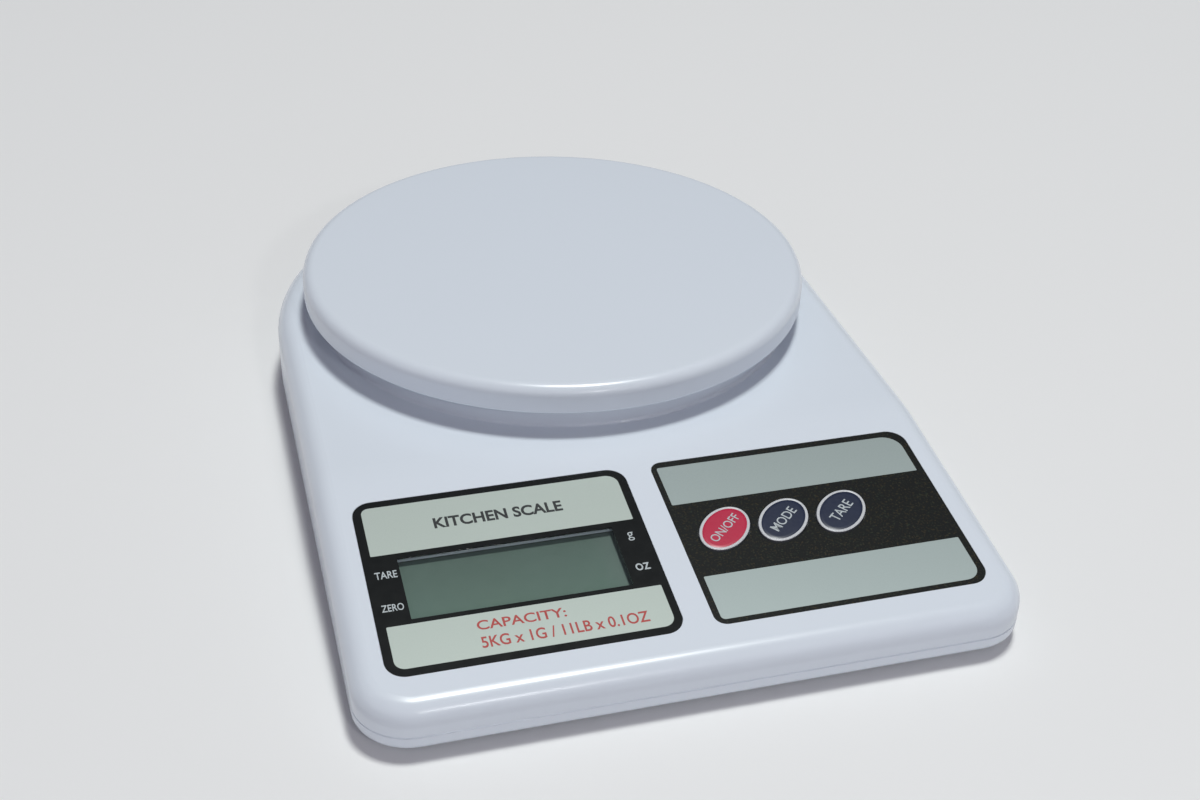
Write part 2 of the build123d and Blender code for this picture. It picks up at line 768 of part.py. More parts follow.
lcd_opening_width = lcd_width + 2 * lcd_frame_clearance
lcd_opening_height = lcd_height + 2 * lcd_frame_clearance
with BuildPart() as lcd_frame:
    with BuildSketch(panel.offset(-board_depth)):
        with Locations((display_x, window_row)):
            Rectangle(lcd_opening_width + 2 * lcd_frame_wall, lcd_opening_height + 2 * lcd_frame_wall)
            Rectangle(lcd_opening_width, lcd_opening_height, mode=Mode.SUBTRACT)
    extrude(amount=board_depth - case_wall)
lcd_frame.part.label = "lcd_frame"
export_step(lcd_frame.part, "parts/lcd_frame.step")

with BuildPart() as zebra_strip:
    with BuildSketch(panel.offset(-board_depth)):
        with Locations((display_x, window_row - lcd_height / 2 + zebra_width / 2)):
            Rectangle(zebra_length, zebra_width)
    extrude(amount=zebra_height)
zebra_strip.part.label = "zebra_strip"
export_step(zebra_strip.part, "parts/zebra_strip.step")


# ---- Circuit board and what is soldered to it ----
board_length = board_top_row - board_bottom_row
board_row = (board_top_row + board_bottom_row) / 2
with BuildPart() as circuit_board:
    with BuildSketch(panel.offset(-board_under)):
        with Locations((board_shift, board_row)):
            Rectangle(board_width, board_length)
        with Locations(*board_screw_points()):
            Circle(board_screw_radius + shank_clearance, mode=Mode.SUBTRACT)
    extrude(amount=board_thickness)
circuit_board.part.label = "circuit_board"
export_step(circuit_board.part, "parts/circuit_board.step")

with BuildPart() as board_screws:
    with BuildSketch(panel.offset(-board_under)):
        with Locations(*board_screw_points()):
            Circle(board_screw_head_radius)
    extrude(amount=-board_screw_head_height)
    with BuildSketch(panel.offset(-board_under)):
        with Locations(*board_screw_points()):
            Circle(board_screw_radius)
    extrude(amount=board_screw_length)
board_screws.part.label = "board_screws"
export_step(board_screws.part, "parts/board_screws.step")

blob_place = (keypad_x, key_row)
with BuildPart() as chip_blob:
    with BuildSketch(panel.offset(-board_under)):
        with Locations(blob_place):
            Circle(blob_radius)
    extrude(amount=-blob_height)
    fillet(chip_blob.faces().sort_by(panel_axis)[0].outer_wire().edges(), blob_edge_round)
chip_blob.part.label = "chip_blob"
export_step(chip_blob.part, "parts/chip_blob.step")

part_row = key_row - key_long_radius - 2 * capacitor_radius
with BuildPart() as capacitor:
    with BuildSketch(panel.offset(-board_depth)):
        with Locations((key_points[0][0], part_row)):
            Circle(capacitor_radius)
    extrude(amount=capacitor_height)
capacitor.part.label = "capacitor"
export_step(capacitor.part, "parts/capacitor.step")

with BuildPart() as crystal:
    with BuildSketch(panel.offset(-board_depth)):
        with Locations((key_points[1][0], part_row)):
            SlotOverall(crystal_length, 2 * crystal_radius)
    extrude(amount=2 * crystal_radius)
crystal.part.label = "crystal"
export_step(crystal.part, "parts/crystal.step")

with BuildPart() as switch_bodies:
    with BuildSketch(panel.offset(-board_depth)):
        with Locations(*key_points):
            Rectangle(switch_size, switch_size)
    extrude(amount=switch_height)
    with BuildSketch(panel.offset(switch_height - board_depth)):
        with Locations(*key_points):
            Circle(plunger_radius + plunger_clearance)
    extrude(amount=-plunger_bore_depth, mode=Mode.SUBTRACT)
switch_bodies.part.label = "switch_bodies"
export_step(switch_bodies.part, "parts/switch_bodies.step")


# ---- Keys: an oval cap with a flange behind the panel and a stem onto its switch ----
plunger_top = switch_height + plunger_rise - board_depth
flange_top = -(case_wall + key_flange_gap)
flange_bottom = flange_top - key_flange_thickness


def key_cap(place):
    """One oval key: cap through the panel, flange behind it, stem down to the switch's plunger."""
    with BuildPart() as cap:
        with BuildSketch(panel.offset(flange_bottom)):
            with Locations(place):
                Ellipse(key_long_radius, key_short_radius, rotation=key_tilt)
        extrude(amount=key_proud - flange_bottom)
        fillet(cap.faces().sort_by(panel_axis)[-1].outer_wire().edges(), key_edge_round)
        with BuildSketch(panel.offset(flange_bottom)):
            with Locations(place):
                Ellipse(key_long_radius + key_flange, key_short_radius + key_flange, rotation=key_tilt)
        extrude(amount=key_flange_thickness)
        with BuildSketch(panel.offset(plunger_top)):
            with Locations(place):
                Circle(key_stem_radius)
        extrude(amount=flange_bottom - plunger_top)
    return cap.part


def switch_plunger(place):
    """The round plunger of one push switch."""
    with BuildPart() as plunger:
        with BuildSketch(panel.offset(plunger_top)):
            with Locations(place):
                Circle(plunger_radius)
        extrude(amount=-plunger_rise - plunger_depth)
    return plunger.part


for key_name, key_place in zip(("on_off", "mode", "tare"), key_points):
    cap_part = key_cap(key_place)
    cap_part.label = f"{key_name}_key"
    export_step(cap_part, f"parts/{key_name}_key.step")
    plunger_part = switch_plunger(key_place)
    plunger_part.label = f"{key_name}_plunger"
    export_step(plunger_part, f"parts/{key_name}_plunger.step")


# ---- AA cells, lying side by side and head to tail ----
nub_tip = box_inside_length / 2 - contact_plate - contact_dimple


def aa_cell(side, row):
    """One AA cell whose positive end points to side (+1 right, -1 left)."""
    body_end = side * (nub_tip - cell_nub_length)
    with BuildPart() as cell:
        with BuildSketch(Plane.YZ.offset(body_end)):
            with Locations((row, cell_centre_z)):
                Circle(cell_radius)
        extrude(amount=-side * cell_body_length)
        fillet(cell.edges().filter_by(GeomType.CIRCLE), cell_clearance)
        with BuildSketch(Plane.YZ.offset(body_end)):
            with Locations((row, cell_centre_z)):
                Circle(cell_nub_radius)
        extrude(amount=side * cell_nub_length)
    return cell.part


rear_row = box_y + cell_spacing / 2
front_row = box_y - cell_spacing / 2
battery_cell_rear = aa_cell(1, rear_row)
battery_cell_rear.label = "battery_cell_rear"
export_step(battery_cell_rear, "parts/battery_cell_rear.step")
battery_cell_front = aa_cell(-1, front_row)
battery_cell_front.label = "battery_cell_front"
export_step(battery_cell_front, "parts/battery_cell_front.step")


# ---- Battery contacts ----
contact_face = box_inside_length / 2 - contact_plate


def coil_spring(side, row):
    """A conical coil from its contact plate to the flat end of a cell."""
    taper = math.degrees(math.atan2(spring_big_radius - spring_small_radius, spring_length))
    with BuildPart() as coil:
        with BuildLine() as turns:
            Helix(
                pitch=spring_pitch,
                height=spring_length - 2 * spring_wire,
                radius=spring_big_radius,
                center=(side * (contact_face - spring_wire / 2), row, cell_centre_z),
                direction=(-side, 0, 0),
                cone_angle=-taper,
            )
        with BuildSketch(Plane(origin=turns.edges()[0] @ 0, z_dir=turns.edges()[0] % 0)):
            Circle(spring_wire)
        sweep(is_frenet=True)
    return coil.part


def contact_plates(side, rows, length):
    """A flat contact plate against one end of the box, standing behind the cells in rows."""
    with BuildPart() as plates:
        with BuildSketch(Plane.YZ.offset(side * contact_face)):
            with Locations((sum(rows) / len(rows), cell_centre_z)):
                Rectangle(length, contact_size)
        extrude(amount=side * contact_plate)
    return plates.part


def contact_dimples(side, row):
    """The round dimple that meets a cell's positive nub."""
    with BuildPart() as dimple:
        with BuildSketch(Plane.YZ.offset(side * contact_face)):
            with Locations((row, cell_centre_z)):
                Circle(contact_dimple_radius)
        extrude(amount=-side * contact_dimple)
    return dimple.part


def contact_tab(row):
    """The soldering tab that leaves the box through its right end."""
    with BuildPart() as tab:
        with BuildSketch(Plane.YZ.offset(contact_face)):
            with Locations((row, cell_centre_z)):
                Rectangle(contact_tab_width, contact_tab_thickness)
        extrude(amount=contact_plate + box_wall + contact_tab_length)
    return tab.part


with BuildPart() as battery_plate_contact:
    add(contact_plates(1, [rear_row], contact_size))
    add(contact_dimples(1, rear_row))
    add(contact_tab(rear_row))
battery_plate_contact.part.label = "battery_plate_contact"
export_step(battery_plate_contact.part, "parts/battery_plate_contact.step")

with BuildPart() as battery_spring_contact:
    add(contact_plates(1, [front_row], contact_size))
    add(coil_spring(1, front_row))
    add(contact_tab(front_row))
battery_spring_contact.part.label = "battery_spring_contact"
export_step(battery_spring_contact.part, "parts/battery_spring_contact.step")

with BuildPart() as battery_bridge_contact:
    add(contact_plates(-1, [front_row, rear_row], cell_spacing + contact_size))
    add(contact_dimples(-1, front_row))
    add(coil_spring(-1, rear_row))
battery_bridge_contact.part.label = "battery_bridge_contact"
export_step(battery_bridge_contact.part, "parts/battery_bridge_contact.step")


# ---- Battery cover: rounded hinge edge, two hinge tabs and a latch tongue ----
cover_length = box_inside_length - 2 * cover_gap
tab_low = floor_top + cover_gap
tab_end = cover_axis_y + cover_thickness + cover_gap + cover_tab_reach

with BuildPart() as battery_cover:
    with BuildSketch(Plane.YZ.offset(-cover_length / 2)):
        with BuildLine():
            Line((cover_axis_y, foot_height), (cover_latch_y, foot_height))
            Line((cover_latch_y, foot_height), (cover_latch_y, cover_top))
            Line((cover_latch_y, cover_top), (cover_axis_y + cover_thickness, cover_top))
            CenterArc((cover_axis_y, cover_top), cover_thickness, 270, 90)
        make_face()
    extrude(amount=cover_length)
    for tab_side in (-1, 1):
        tab_x = tab_side * cover_tab_spacing / 2 - cover_tab_width / 2
        with BuildSketch(Plane.YZ.offset(tab_x)):
            with BuildLine():
                Polyline(
                    (cover_axis_y - cover_thickness, cover_top - cover_gap),
                    (cover_axis_y - cover_thickness, tab_low + cover_tab_thickness),
                    (tab_end, tab_low + cover_tab_thickness),
                    (tab_end, tab_low),
                    (cover_axis_y + cover_thickness / 2, tab_low),
                    (cover_axis_y + cover_thickness / 2, cover_top - cover_gap),
                    close=True,
                )
            make_face()
        extrude(amount=cover_tab_width)
    with BuildSketch(Plane.XY.offset(cover_top - cover_gap)):
        with Locations((0, cover_latch_y + cover_gap + cover_latch_thickness)):
            Rectangle(cover_latch_width, cover_latch_thickness)
    extrude(amount=cover_latch_height)
    with BuildSketch(Plane.XY.offset(foot_height)):
        with Locations((0, cover_latch_y + 2 * cover_latch_thickness)):
            SlotOverall(grip_length, 2 * cover_latch_thickness)
    extrude(amount=cover_thickness / 2, mode=Mode.SUBTRACT)
battery_cover.part.label = "battery_cover"
export_step(battery_cover.part, "parts/battery_cover.step")


# ---- Plugs on the board, and the wires that run to them ----
plug_row = board_top_row - plug_margin
load_wire_turn = -(load_cell_length / 2 + wire_side_run)
battery_wire_turn = box_inside_length / 2 + box_wall + contact_tab_length + battery_plug_reach
wire_level = plug_height / 2 - board_depth


def plug(centre_x, wires):
    """A plug housing on the board, its rear face to the wires."""
    with BuildPart() as housing:
        with BuildSketch(panel.offset(-board_depth)):
            with Locations((centre_x, plug_row - plug_depth / 2)):
                Rectangle(wires * wire_pitch + 2 * plug_margin, plug_depth)
        extrude(amount=plug_height)
        chamfer(housing.edges().filter_by(Axis.X).group_by(Axis.Z)[-1], plug_margin / 3)
    return housing.part


def bend_radii(points):
    """One radius for each corner: a share of its shorter run over the tangent of half the turn."""
    radii = []
    for before, corner, after in zip(points, points[1:], points[2:]):
        run_in = Vector(*corner) - Vector(*before)
        run_out = Vector(*after) - Vector(*corner)
        half_turn = math.radians(run_in.get_angle(run_out)) / 2
        radii.append(wire_bend_share * min(run_in.length, run_out.length) / math.tan(half_turn))
    return radii


def wire(name, points):
    """A round insulated wire along straight runs joined by tangent arcs."""
    radii = bend_radii(points)
    with BuildPart() as lead:
        with BuildLine() as route:
            FilletPolyline(*points, radius=radii)
        with BuildSketch(Plane(origin=route.wires()[0] @ 0, z_dir=route.wires()[0] % 0)):
            Circle(wire_radius)
        sweep()
    section = math.pi * wire_radius**2
    length = route.wires()[0].length
    print(name, "radii", [round(radius, 1) for radius in radii], "length", round(length, 1))
    print(name, "volume", round(lead.part.volume, 2), "section x length", round(section * length, 2))
    return lead.part


def panel_point(across, along, off):
    """A point given on the panel's plane, in the scale's own frame."""
    point = panel.from_local_coords(Vector(across, along, off))
    return (point.X, point.Y, point.Z)


load_cell_plug = plug(load_wire_turn, 4)
load_cell_plug.label = "load_cell_plug"
export_step(load_cell_plug, "parts/load_cell_plug.step")
battery_plug = plug(battery_wire_turn, 2)
battery_plug.label = "battery_plug"
export_step(battery_plug, "parts/battery_plug.step")

load_wire_z = load_cell_top + wire_radius + wire_lift
for number, colour in enumerate(("red", "black", "green", "white")):
    shift = (number - 1.5) * wire_pitch
    across = load_wire_turn - shift
    wire_name = f"load_cell_wire_{colour}"
    wire_part = wire(
        wire_name,
        [
            (-coating_length / 2, platter_y + shift, load_wire_z),
            (across, platter_y + shift, load_wire_z),
            (across, platter_y - wire_level_end, load_wire_z),
            (across, crease_y + wire_dip_start, load_wire_z - wire_dip),
            panel_point(across, plug_row + wire_plug_approach, wire_level),
            panel_point(across, plug_row, wire_level),
        ],
    )
    wire_part.label = wire_name
    export_step(wire_part, f"parts/{wire_name}.step")

tab_end_x = box_inside_length / 2 + box_wall + contact_tab_length
for colour, row, step in (("red", rear_row, 0.5), ("black", front_row, -0.5)):
    across = battery_wire_turn + step * wire_pitch
    wire_name = f"battery_wire_{colour}"
    wire_part = wire(
        wire_name,
        [
            (tab_end_x, row, cell_centre_z),
            (across, row, cell_centre_z),
            (across, row - battery_wire_turn_share * (row - crease_y), cell_centre_z + battery_wire_rise),
            panel_point(across, plug_row + wire_plug_approach, wire_level),
            panel_point(across, plug_row, wire_level),
        ],
    )
    wire_part.label = wire_name
    export_step(wire_part, f"parts/{wire_name}.step")

# ---- Values that the joints and the frame are stated from ----
print("slope degrees", round(math.degrees(slope), 3), "panel normal", tuple(round(v, 6) for v in panel.z_dir))
print("platter y", platter_y, "front y", front_y, "crease y", crease_y, "top z", top_z, "platter top", platter_top)
print("case width", case_width, "case length", front_reach + case_width / 2, "case depth", case_depth)
print("battery cover hinge y", cover_axis_y, "z", cover_top, "box y", box_y)
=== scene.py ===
# %% [markdown]
# # A kitchen scale, dressed around its measured frame
#
# The scale is a flat white box with a sloping front, a round platter, a small display and three
# oval keys. Its engineering shape is already settled in a imported frame: every case half, key and
# screw has its place there, and the joints know how they move. This notebook adds what the eye
# wants: fine platter edges, printed ink, raised keys, threads and believable finishes.
# We could model the whole thing again by hand, but then the pictures and the working model would
# drift apart. So we load the frame, measure it, and build each new piece at the place it gives.

# %% Load the frame
import json
import math

import bmesh
import bpy
import numpy as np
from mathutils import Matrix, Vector

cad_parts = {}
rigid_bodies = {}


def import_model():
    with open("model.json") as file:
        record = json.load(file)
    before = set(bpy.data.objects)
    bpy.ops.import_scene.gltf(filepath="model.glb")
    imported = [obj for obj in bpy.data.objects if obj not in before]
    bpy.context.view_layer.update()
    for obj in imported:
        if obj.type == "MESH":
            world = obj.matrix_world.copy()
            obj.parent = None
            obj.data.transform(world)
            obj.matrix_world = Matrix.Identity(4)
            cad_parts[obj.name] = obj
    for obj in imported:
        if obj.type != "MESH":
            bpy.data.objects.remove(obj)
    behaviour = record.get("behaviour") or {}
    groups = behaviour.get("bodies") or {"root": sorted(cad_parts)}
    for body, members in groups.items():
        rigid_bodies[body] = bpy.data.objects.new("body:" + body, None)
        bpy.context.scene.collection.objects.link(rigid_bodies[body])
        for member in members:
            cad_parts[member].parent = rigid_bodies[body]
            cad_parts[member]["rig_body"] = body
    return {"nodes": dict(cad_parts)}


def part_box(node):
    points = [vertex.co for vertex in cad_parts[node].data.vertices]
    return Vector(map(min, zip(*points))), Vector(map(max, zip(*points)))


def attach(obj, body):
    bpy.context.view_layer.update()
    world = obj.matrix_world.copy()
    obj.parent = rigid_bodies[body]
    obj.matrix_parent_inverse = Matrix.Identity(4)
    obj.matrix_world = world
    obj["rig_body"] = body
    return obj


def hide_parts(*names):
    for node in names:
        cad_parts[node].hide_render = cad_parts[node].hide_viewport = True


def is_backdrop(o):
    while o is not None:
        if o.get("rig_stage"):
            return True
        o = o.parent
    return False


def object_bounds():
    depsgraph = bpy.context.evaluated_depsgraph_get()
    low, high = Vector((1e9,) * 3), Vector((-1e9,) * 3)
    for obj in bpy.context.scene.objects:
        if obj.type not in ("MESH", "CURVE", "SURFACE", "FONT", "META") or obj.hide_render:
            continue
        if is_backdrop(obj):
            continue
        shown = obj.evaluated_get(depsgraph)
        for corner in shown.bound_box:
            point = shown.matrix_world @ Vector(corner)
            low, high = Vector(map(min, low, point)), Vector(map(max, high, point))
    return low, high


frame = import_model()
cad_low, cad_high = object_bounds()
MM = 0.001
print("size in mm:", [round(side / MM, 1) for side in cad_high - cad_low])

# %% [markdown]
# ## Measuring tools
#
# A frame piece carries its place in its corners, so we read all its corners into one array and
# work in millimetres, the unit that a scale maker thinks in. The sloping panel needs its own
# coordinates as well: across to the right, down the slope, and out of the surface. We could type
# the slope in, but fitting a plane to the keypad film keeps us honest if the frame ever changes.


# %% Read the corners of a frame piece
def node_points(node):
    """Every corner of a frame piece, one row of x, y, z each, in millimetres."""
    mesh = frame["nodes"][node].data
    flat = np.empty(3 * len(mesh.vertices), np.float32)
    mesh.vertices.foreach_get("co", flat)
    return flat.reshape(-1, 3).astype(float) / MM


def node_box(node):
    """Lowest and highest corner of a frame piece, in millimetres."""
    low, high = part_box(node)
    return np.array(low) / MM, np.array(high) / MM


# %% Fit the plane of the panel
film = node_points("keypad_overlay")
_, _, spread_axes = np.linalg.svd(film - film.mean(0), full_matrices=False)
out_axis = spread_axes[2] * np.sign(spread_axes[2][2])
right_axis = np.array([1.0, 0.0, 0.0])
down_axis = np.cross(out_axis, right_axis) * -1.0
panel_axes = np.stack([right_axis, down_axis, out_axis])
display_film = node_points("display_overlay")
panel_origin = (
    out_axis * (display_film @ out_axis).max() + down_axis * (display_film @ down_axis).min()
)


def in_panel(points):
    """Across, down and out of the panel for points in the scale's own x, y, z."""
    return (points - panel_origin) @ panel_axes.T


def from_panel(across, down, out):
    """The scale's own x, y, z for places given on the panel, whole arrays at a time."""
    return panel_origin + np.stack(np.broadcast_arrays(across, down, out), -1) @ panel_axes


print("panel slopes", round(math.degrees(math.acos(out_axis[2])), 2), "degrees")

# %% [markdown]
# ## From numbers to meshes
#
# Nearly every new piece is a surface over a grid: rows run along the piece and columns run round
# it. If row i and column j give the point P(i, j), then the four neighbours P(i, j), P(i, j+1),
# P(i+1, j+1) and P(i+1, j) make one face. numpy works out all the points together, and one call
# puts them into the mesh. Spinning a curve with a modifier would also work, but the grid keeps
# the formula in sight and lets threads and recesses be just another term in it.


# %% Turn a grid of points into a closed mesh
def finish_shell(mesh, sharp_degrees):
    """Closes seams and poles, turns all faces outwards and smooths all but the sharp edges."""
    shell = bmesh.new()
    shell.from_mesh(mesh)
    bmesh.ops.remove_doubles(shell, verts=shell.verts, dist=1e-7)
    bmesh.ops.dissolve_degenerate(shell, edges=shell.edges, dist=1e-8)
    bmesh.ops.recalc_face_normals(shell, faces=shell.faces)
    shell.to_mesh(mesh)
    shell.free()
    mesh.polygons.foreach_set("use_smooth", np.ones(len(mesh.polygons), bool))
    mesh.set_sharp_from_angle(angle=math.radians(sharp_degrees))
    mesh.update()


def add_object(name, mesh, materials):
    """Puts a mesh into the scene at the origin, unturned, with its finishes in order."""
    obj = bpy.data.objects.new(name, mesh)
    bpy.context.scene.collection.objects.link(obj)
    for material in materials:
        mesh.materials.append(material)
    return obj


def surface(name, grids, materials, bands=None, caps=False, sharp_degrees=32):
    """One piece from one or more grids of points in mm, each of shape rows x columns x 3.

    Columns close on themselves. Caps close the first and last row with one flat face each. Bands
    gives the number of the finish for each strip of faces between two rows.
    """
    points, faces, finishes = [], [], []
    start = 0
    for grid in grids:
        rows, columns, _ = grid.shape
        row = start + columns * np.arange(rows - 1)[:, None]
        here, there = np.arange(columns)[None, :], (np.arange(columns)[None, :] + 1) % columns
        quads = np.stack([row + here, row + there, row + columns + there, row + columns + here], -1)
        faces += quads.reshape(-1, 4).tolist()
        band = np.zeros(rows - 1, int) if bands is None else np.asarray(bands)
        finishes.append(np.repeat(band, columns))
        if caps:
            faces += [(start + np.arange(columns)[::-1]).tolist()]
            faces += [(start + (rows - 1) * columns + np.arange(columns)).tolist()]
            finishes.append(band[[0, -1]])
        points.append(grid.reshape(-1, 3))
        start += rows * columns
    mesh = bpy.data.meshes.new(name)
    mesh.from_pydata((np.concatenate(points) * MM).tolist(), [], faces)
    mesh.polygons.foreach_set("material_index", np.concatenate(finishes).astype(np.int32))
    finish_shell(mesh, sharp_degrees)
    obj = add_object(name, mesh, materials)
    print(name, "faces", len(mesh.polygons))
    return obj


# %% Curves for profiles
def arc(centre, radius, start, end, steps=9):
    """Points on a circle: centre + radius (cos t, sin t) for t from start to end, in degrees."""
    t = np.radians(np.linspace(start, end, steps))
    return np.asarray(centre) + radius * np.stack([np.cos(t), np.sin(t)], -1)


def line(*corners):
    """Straight runs through the corners given, as an array of points."""
    return np.array(corners, float)


def turned(profile, centre, columns=96):
    """A profile of (radius, height) points carried round a vertical axis.

    P(i, j) = centre + (r_i cos t_j, r_i sin t_j, z_i), with t_j going once round.
    """
    t = np.linspace(0, 2 * np.pi, columns, endpoint=False)
    radius, height = profile[:, :1], profile[:, 1:]
    x, y = centre[0] + radius * np.cos(t), centre[1] + radius * np.sin(t)
    return np.stack([x, y, height + 0 * x], -1)


def closed(profile):
    """The profile with its first point repeated at its end, for rings."""
    return np.concatenate([profile, profile[:1]])


# %% Fasten a piece to the body that carries it
def fasten(obj, body, slot, *stands_for):
    """The piece moves with this body and may stand for nodes, which it hides; the slot is not used.
    """
    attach(obj, body)
    if stands_for:
        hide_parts(*stands_for)
    return obj


# %% [markdown]
# ## Camera
#
# The scale is seen from its left front corner, a little above arm's height, as a buyer sees it on
# a counter. A longish lens keeps the box from looking stretched. We give the place of the camera
# and the three angles by which it is turned, and leave sharpness the same at all distances.

# %% Place the camera
camera = bpy.data.objects.new("camera", bpy.data.cameras.new("camera"))
bpy.context.scene.collection.objects.link(camera)
camera.data.sensor_width = 36.0
camera.data.lens = 48.37
camera.location = (-0.1068, -0.3823, 0.2656)
camera.rotation_euler = [math.radians(turn) for turn in (57.2095, -1.4673, -15.3554)]
camera.data.clip_start, camera.data.clip_end = 0.01, 30.0
bpy.context.scene.camera = camera
print("camera is", round(camera.location.length, 3), "m from the middle of the scale")

# %% [markdown]
# ## Finishes
#
# A flat colour never looks like a moulded part. Real plastic has a slight drift of colour, a gloss
# that changes where hands and boxes rubbed it, and a fine texture from the mould. All of these are
# noise at different sizes, read from the piece's own coordinates, so they stay put on a piece when
# it moves. Images would do as well, but noise has no seams and no fixed resolution.


# %% Small helpers for shader nodes
def paint(red, green, blue):
    """A colour from 0 to 255 turned into light: ((c + 0.055) / 1.055) ^ 2.4, linear near black."""
    share = np.array([red, green, blue]) / 255
    light = np.where(share > 0.04045, ((share + 0.055) / 1.055) ** 2.4, share / 12.92)
    return (*light.tolist(), 1.0)


def shaded(colour, factor):
    """The colour made lighter or darker by a factor."""
    return (*(min(1.0, channel * factor) for channel in colour[:3]), 1.0)


def new_finish(name):
    """An empty finish: its node tree, its surface shader and the object's coordinates."""
    material = bpy.data.materials.new(name)
    material.use_nodes = True
    tree = material.node_tree
    coordinates = tree.nodes.new("ShaderNodeTexCoord").outputs["Object"]
    return material, tree, tree.nodes["Principled BSDF"], coordinates


def step(tree, kind, feeds, **settings):
    """One shader node with its settings, fed by plain values or by other nodes' outputs."""
    made = tree.nodes.new("ShaderNode" + kind)
    for name, value in settings.items():
        setattr(made, name, value)
    for socket, source in feeds.items():
        if isinstance(source, bpy.types.NodeSocket):
            tree.links.new(source, made.inputs[socket])
        else:
            made.inputs[socket].default_value = source
    return made


def noise(tree, where, size, detail=2.0):
    """Soft patches about this many millimetres wide, from 0 to 1."""
    feeds = {"Vector": where, "Scale": 1 / (size * MM), "Detail": detail}
    return step(tree, "TexNoise", feeds).outputs["Fac"]


def between(tree, factor, low, high, start=0.3, end=0.7):
    """A value that goes from low to high as the factor goes from start to end."""
    feeds = {"Value": factor, "From Min": start, "From Max": end, "To Min": low, "To Max": high}
    return step(tree, "MapRange", feeds).outputs["Result"]


def mix(tree, factor, first, second):
    """The first colour where the factor is 0, the second where it is 1."""
    return step(tree, "Mix", {0: factor, 6: first, 7: second}, data_type="RGBA").outputs[2]


def bumped(tree, shader, height, depth):
    """Raises the surface by a height pattern of this depth in millimetres."""
    bump = step(tree, "Bump", {"Height": height, "Distance": depth * MM, "Strength": 1.0})
    tree.links.new(bump.outputs["Normal"], shader.inputs["Normal"])


# %% A finish for anything moulded, cast or drawn
def moulded(
    name, colour, drift=0.03, gloss=(0.3, 0.4), patch=22.0, grain=0.5, relief=0.003, **fixed
):
    """Colour drifting by a share, roughness between two values, and a fine grain in the surface.

    Patch and grain are widths in millimetres, and relief is how deep the grain goes.
    """
    material, tree, shader, where = new_finish(name)
    clouds = noise(tree, where, patch, 3.0)
    tone = mix(tree, clouds, shaded(colour, 1 - drift), shaded(colour, 1 + drift))
    rubs = noise(tree, where, patch / 3, 5.0)
    tree.links.new(tone, shader.inputs["Base Color"])
    tree.links.new(between(tree, rubs, *gloss, 0.0, 1.0), shader.inputs["Roughness"])
    bumped(tree, shader, noise(tree, where, grain, 4.0), relief)
    for socket, value in fixed.items():
        shader.inputs[socket.replace("_", " ")].default_value = value
    material.diffuse_color = colour
    return material


def wear(node, material):
    """Gives a frame piece its finish."""
    for holder in frame["nodes"][node].material_slots:
        holder.material = material
    frame["nodes"][node].data.materials[0] = material


# %% [markdown]
# ## White case
#
# The two case halves and the platter are glossy white ABS with a cold, slightly violet tint. New
# ABS is very even, so its colour drifts by less than one part in a hundred. Faint rub marks move
# the gloss within a narrow range, because a wide one would show as blotches on so plain a face,
# and a grain 1.4 mm wide gives the soft skin of a moulded surface. A clear coat would look wet,
# so the gloss comes from low roughness alone.

# %% White plastic
case_white = moulded(
    "white_plastic", paint(223, 230, 239), drift=0.008, gloss=(0.225, 0.265), patch=60.0,
    grain=1.4, relief=0.0006,
)
wear("top_case", case_white)
wear("bottom_case", case_white)
print("case halves are", case_white.name)

# %% [markdown]
# ## Platter
#
# The platter is an upside-down dish: a flat round plate whose edge rolls over into a short rim.
# The frame's platter has the right size, but its edge is made of flat chips that show in a glossy
# highlight. Turning one profile round the axis gives an edge as fine as we like. The roll is a
# superellipse rather than a plain quarter circle, so the highlight fades in as on a real moulding.

# %% Measure the platter
platter_low, platter_high = node_box("platter")
platter_centre = (platter_low + platter_high) / 2
platter_radius = (platter_high[0] - platter_low[0]) / 2
under_points = node_points("platter")
inner = np.hypot(*(under_points - platter_centre)[:, :2].T) < platter_radius / 10
# the lowest corners near the middle are the feet of the ribs, so the plate ends above them
rib_depth = 1.5
platter_under = under_points[inner][:, 2].min() + rib_depth
plate_thickness = platter_high[2] - platter_under
print("platter radius", round(platter_radius, 2), "plate", round(plate_thickness, 2), "mm thick")


# %% The dish
def rolled_edge(radius, top, reach, drop, power, steps=17):
    """A rolled edge: |u|^power + |v|^power = 1, u from 0 to 1 over the reach, v down the drop."""
    t = np.linspace(0, np.pi / 2, steps)
    u, v = np.sin(t) ** (2 / power), np.cos(t) ** (2 / power)
    return np.stack([radius - reach + reach * u, top - drop + drop * v], -1)


rim_bottom, plate_top = platter_low[2], platter_high[2]
inside_radius, flat_radius, half_way = 72.8, platter_radius - 6, platter_radius / 2
roll_reach, roll_drop, roll_power = 3.6, 3.4, 2.15
outer_round, inner_round, under_round = 0.7, 0.5, 0.8
dish_profile = np.concatenate([
    line((0, plate_top), (half_way, plate_top), (flat_radius, plate_top)),
    rolled_edge(platter_radius, plate_top, roll_reach, roll_drop, roll_power),
    line((platter_radius, rim_bottom + outer_round + 0.1)),
    arc((platter_radius - outer_round, rim_bottom + outer_round), outer_round, 0, -90, 6),
    arc((inside_radius + inner_round, rim_bottom + inner_round), inner_round, -90, -180, 6),
    line((inside_radius, platter_under - under_round)),
    arc((inside_radius - under_round, platter_under - under_round), under_round, 0, 90, 6),
    line((half_way, platter_under), (0, platter_under)),
])
dish_grid = turned(dish_profile, platter_centre, 288)
dish = surface("platter_dish", [dish_grid], [case_white], sharp_degrees=50)
fasten(dish, "platter", "white_plastic", "platter")

# %% [markdown]
# Underneath, thin ribs keep the plate stiff, and four short cups sit round the posts that carry
# it. Each rib is a strip with a rounded foot, carried from the middle to the ring.


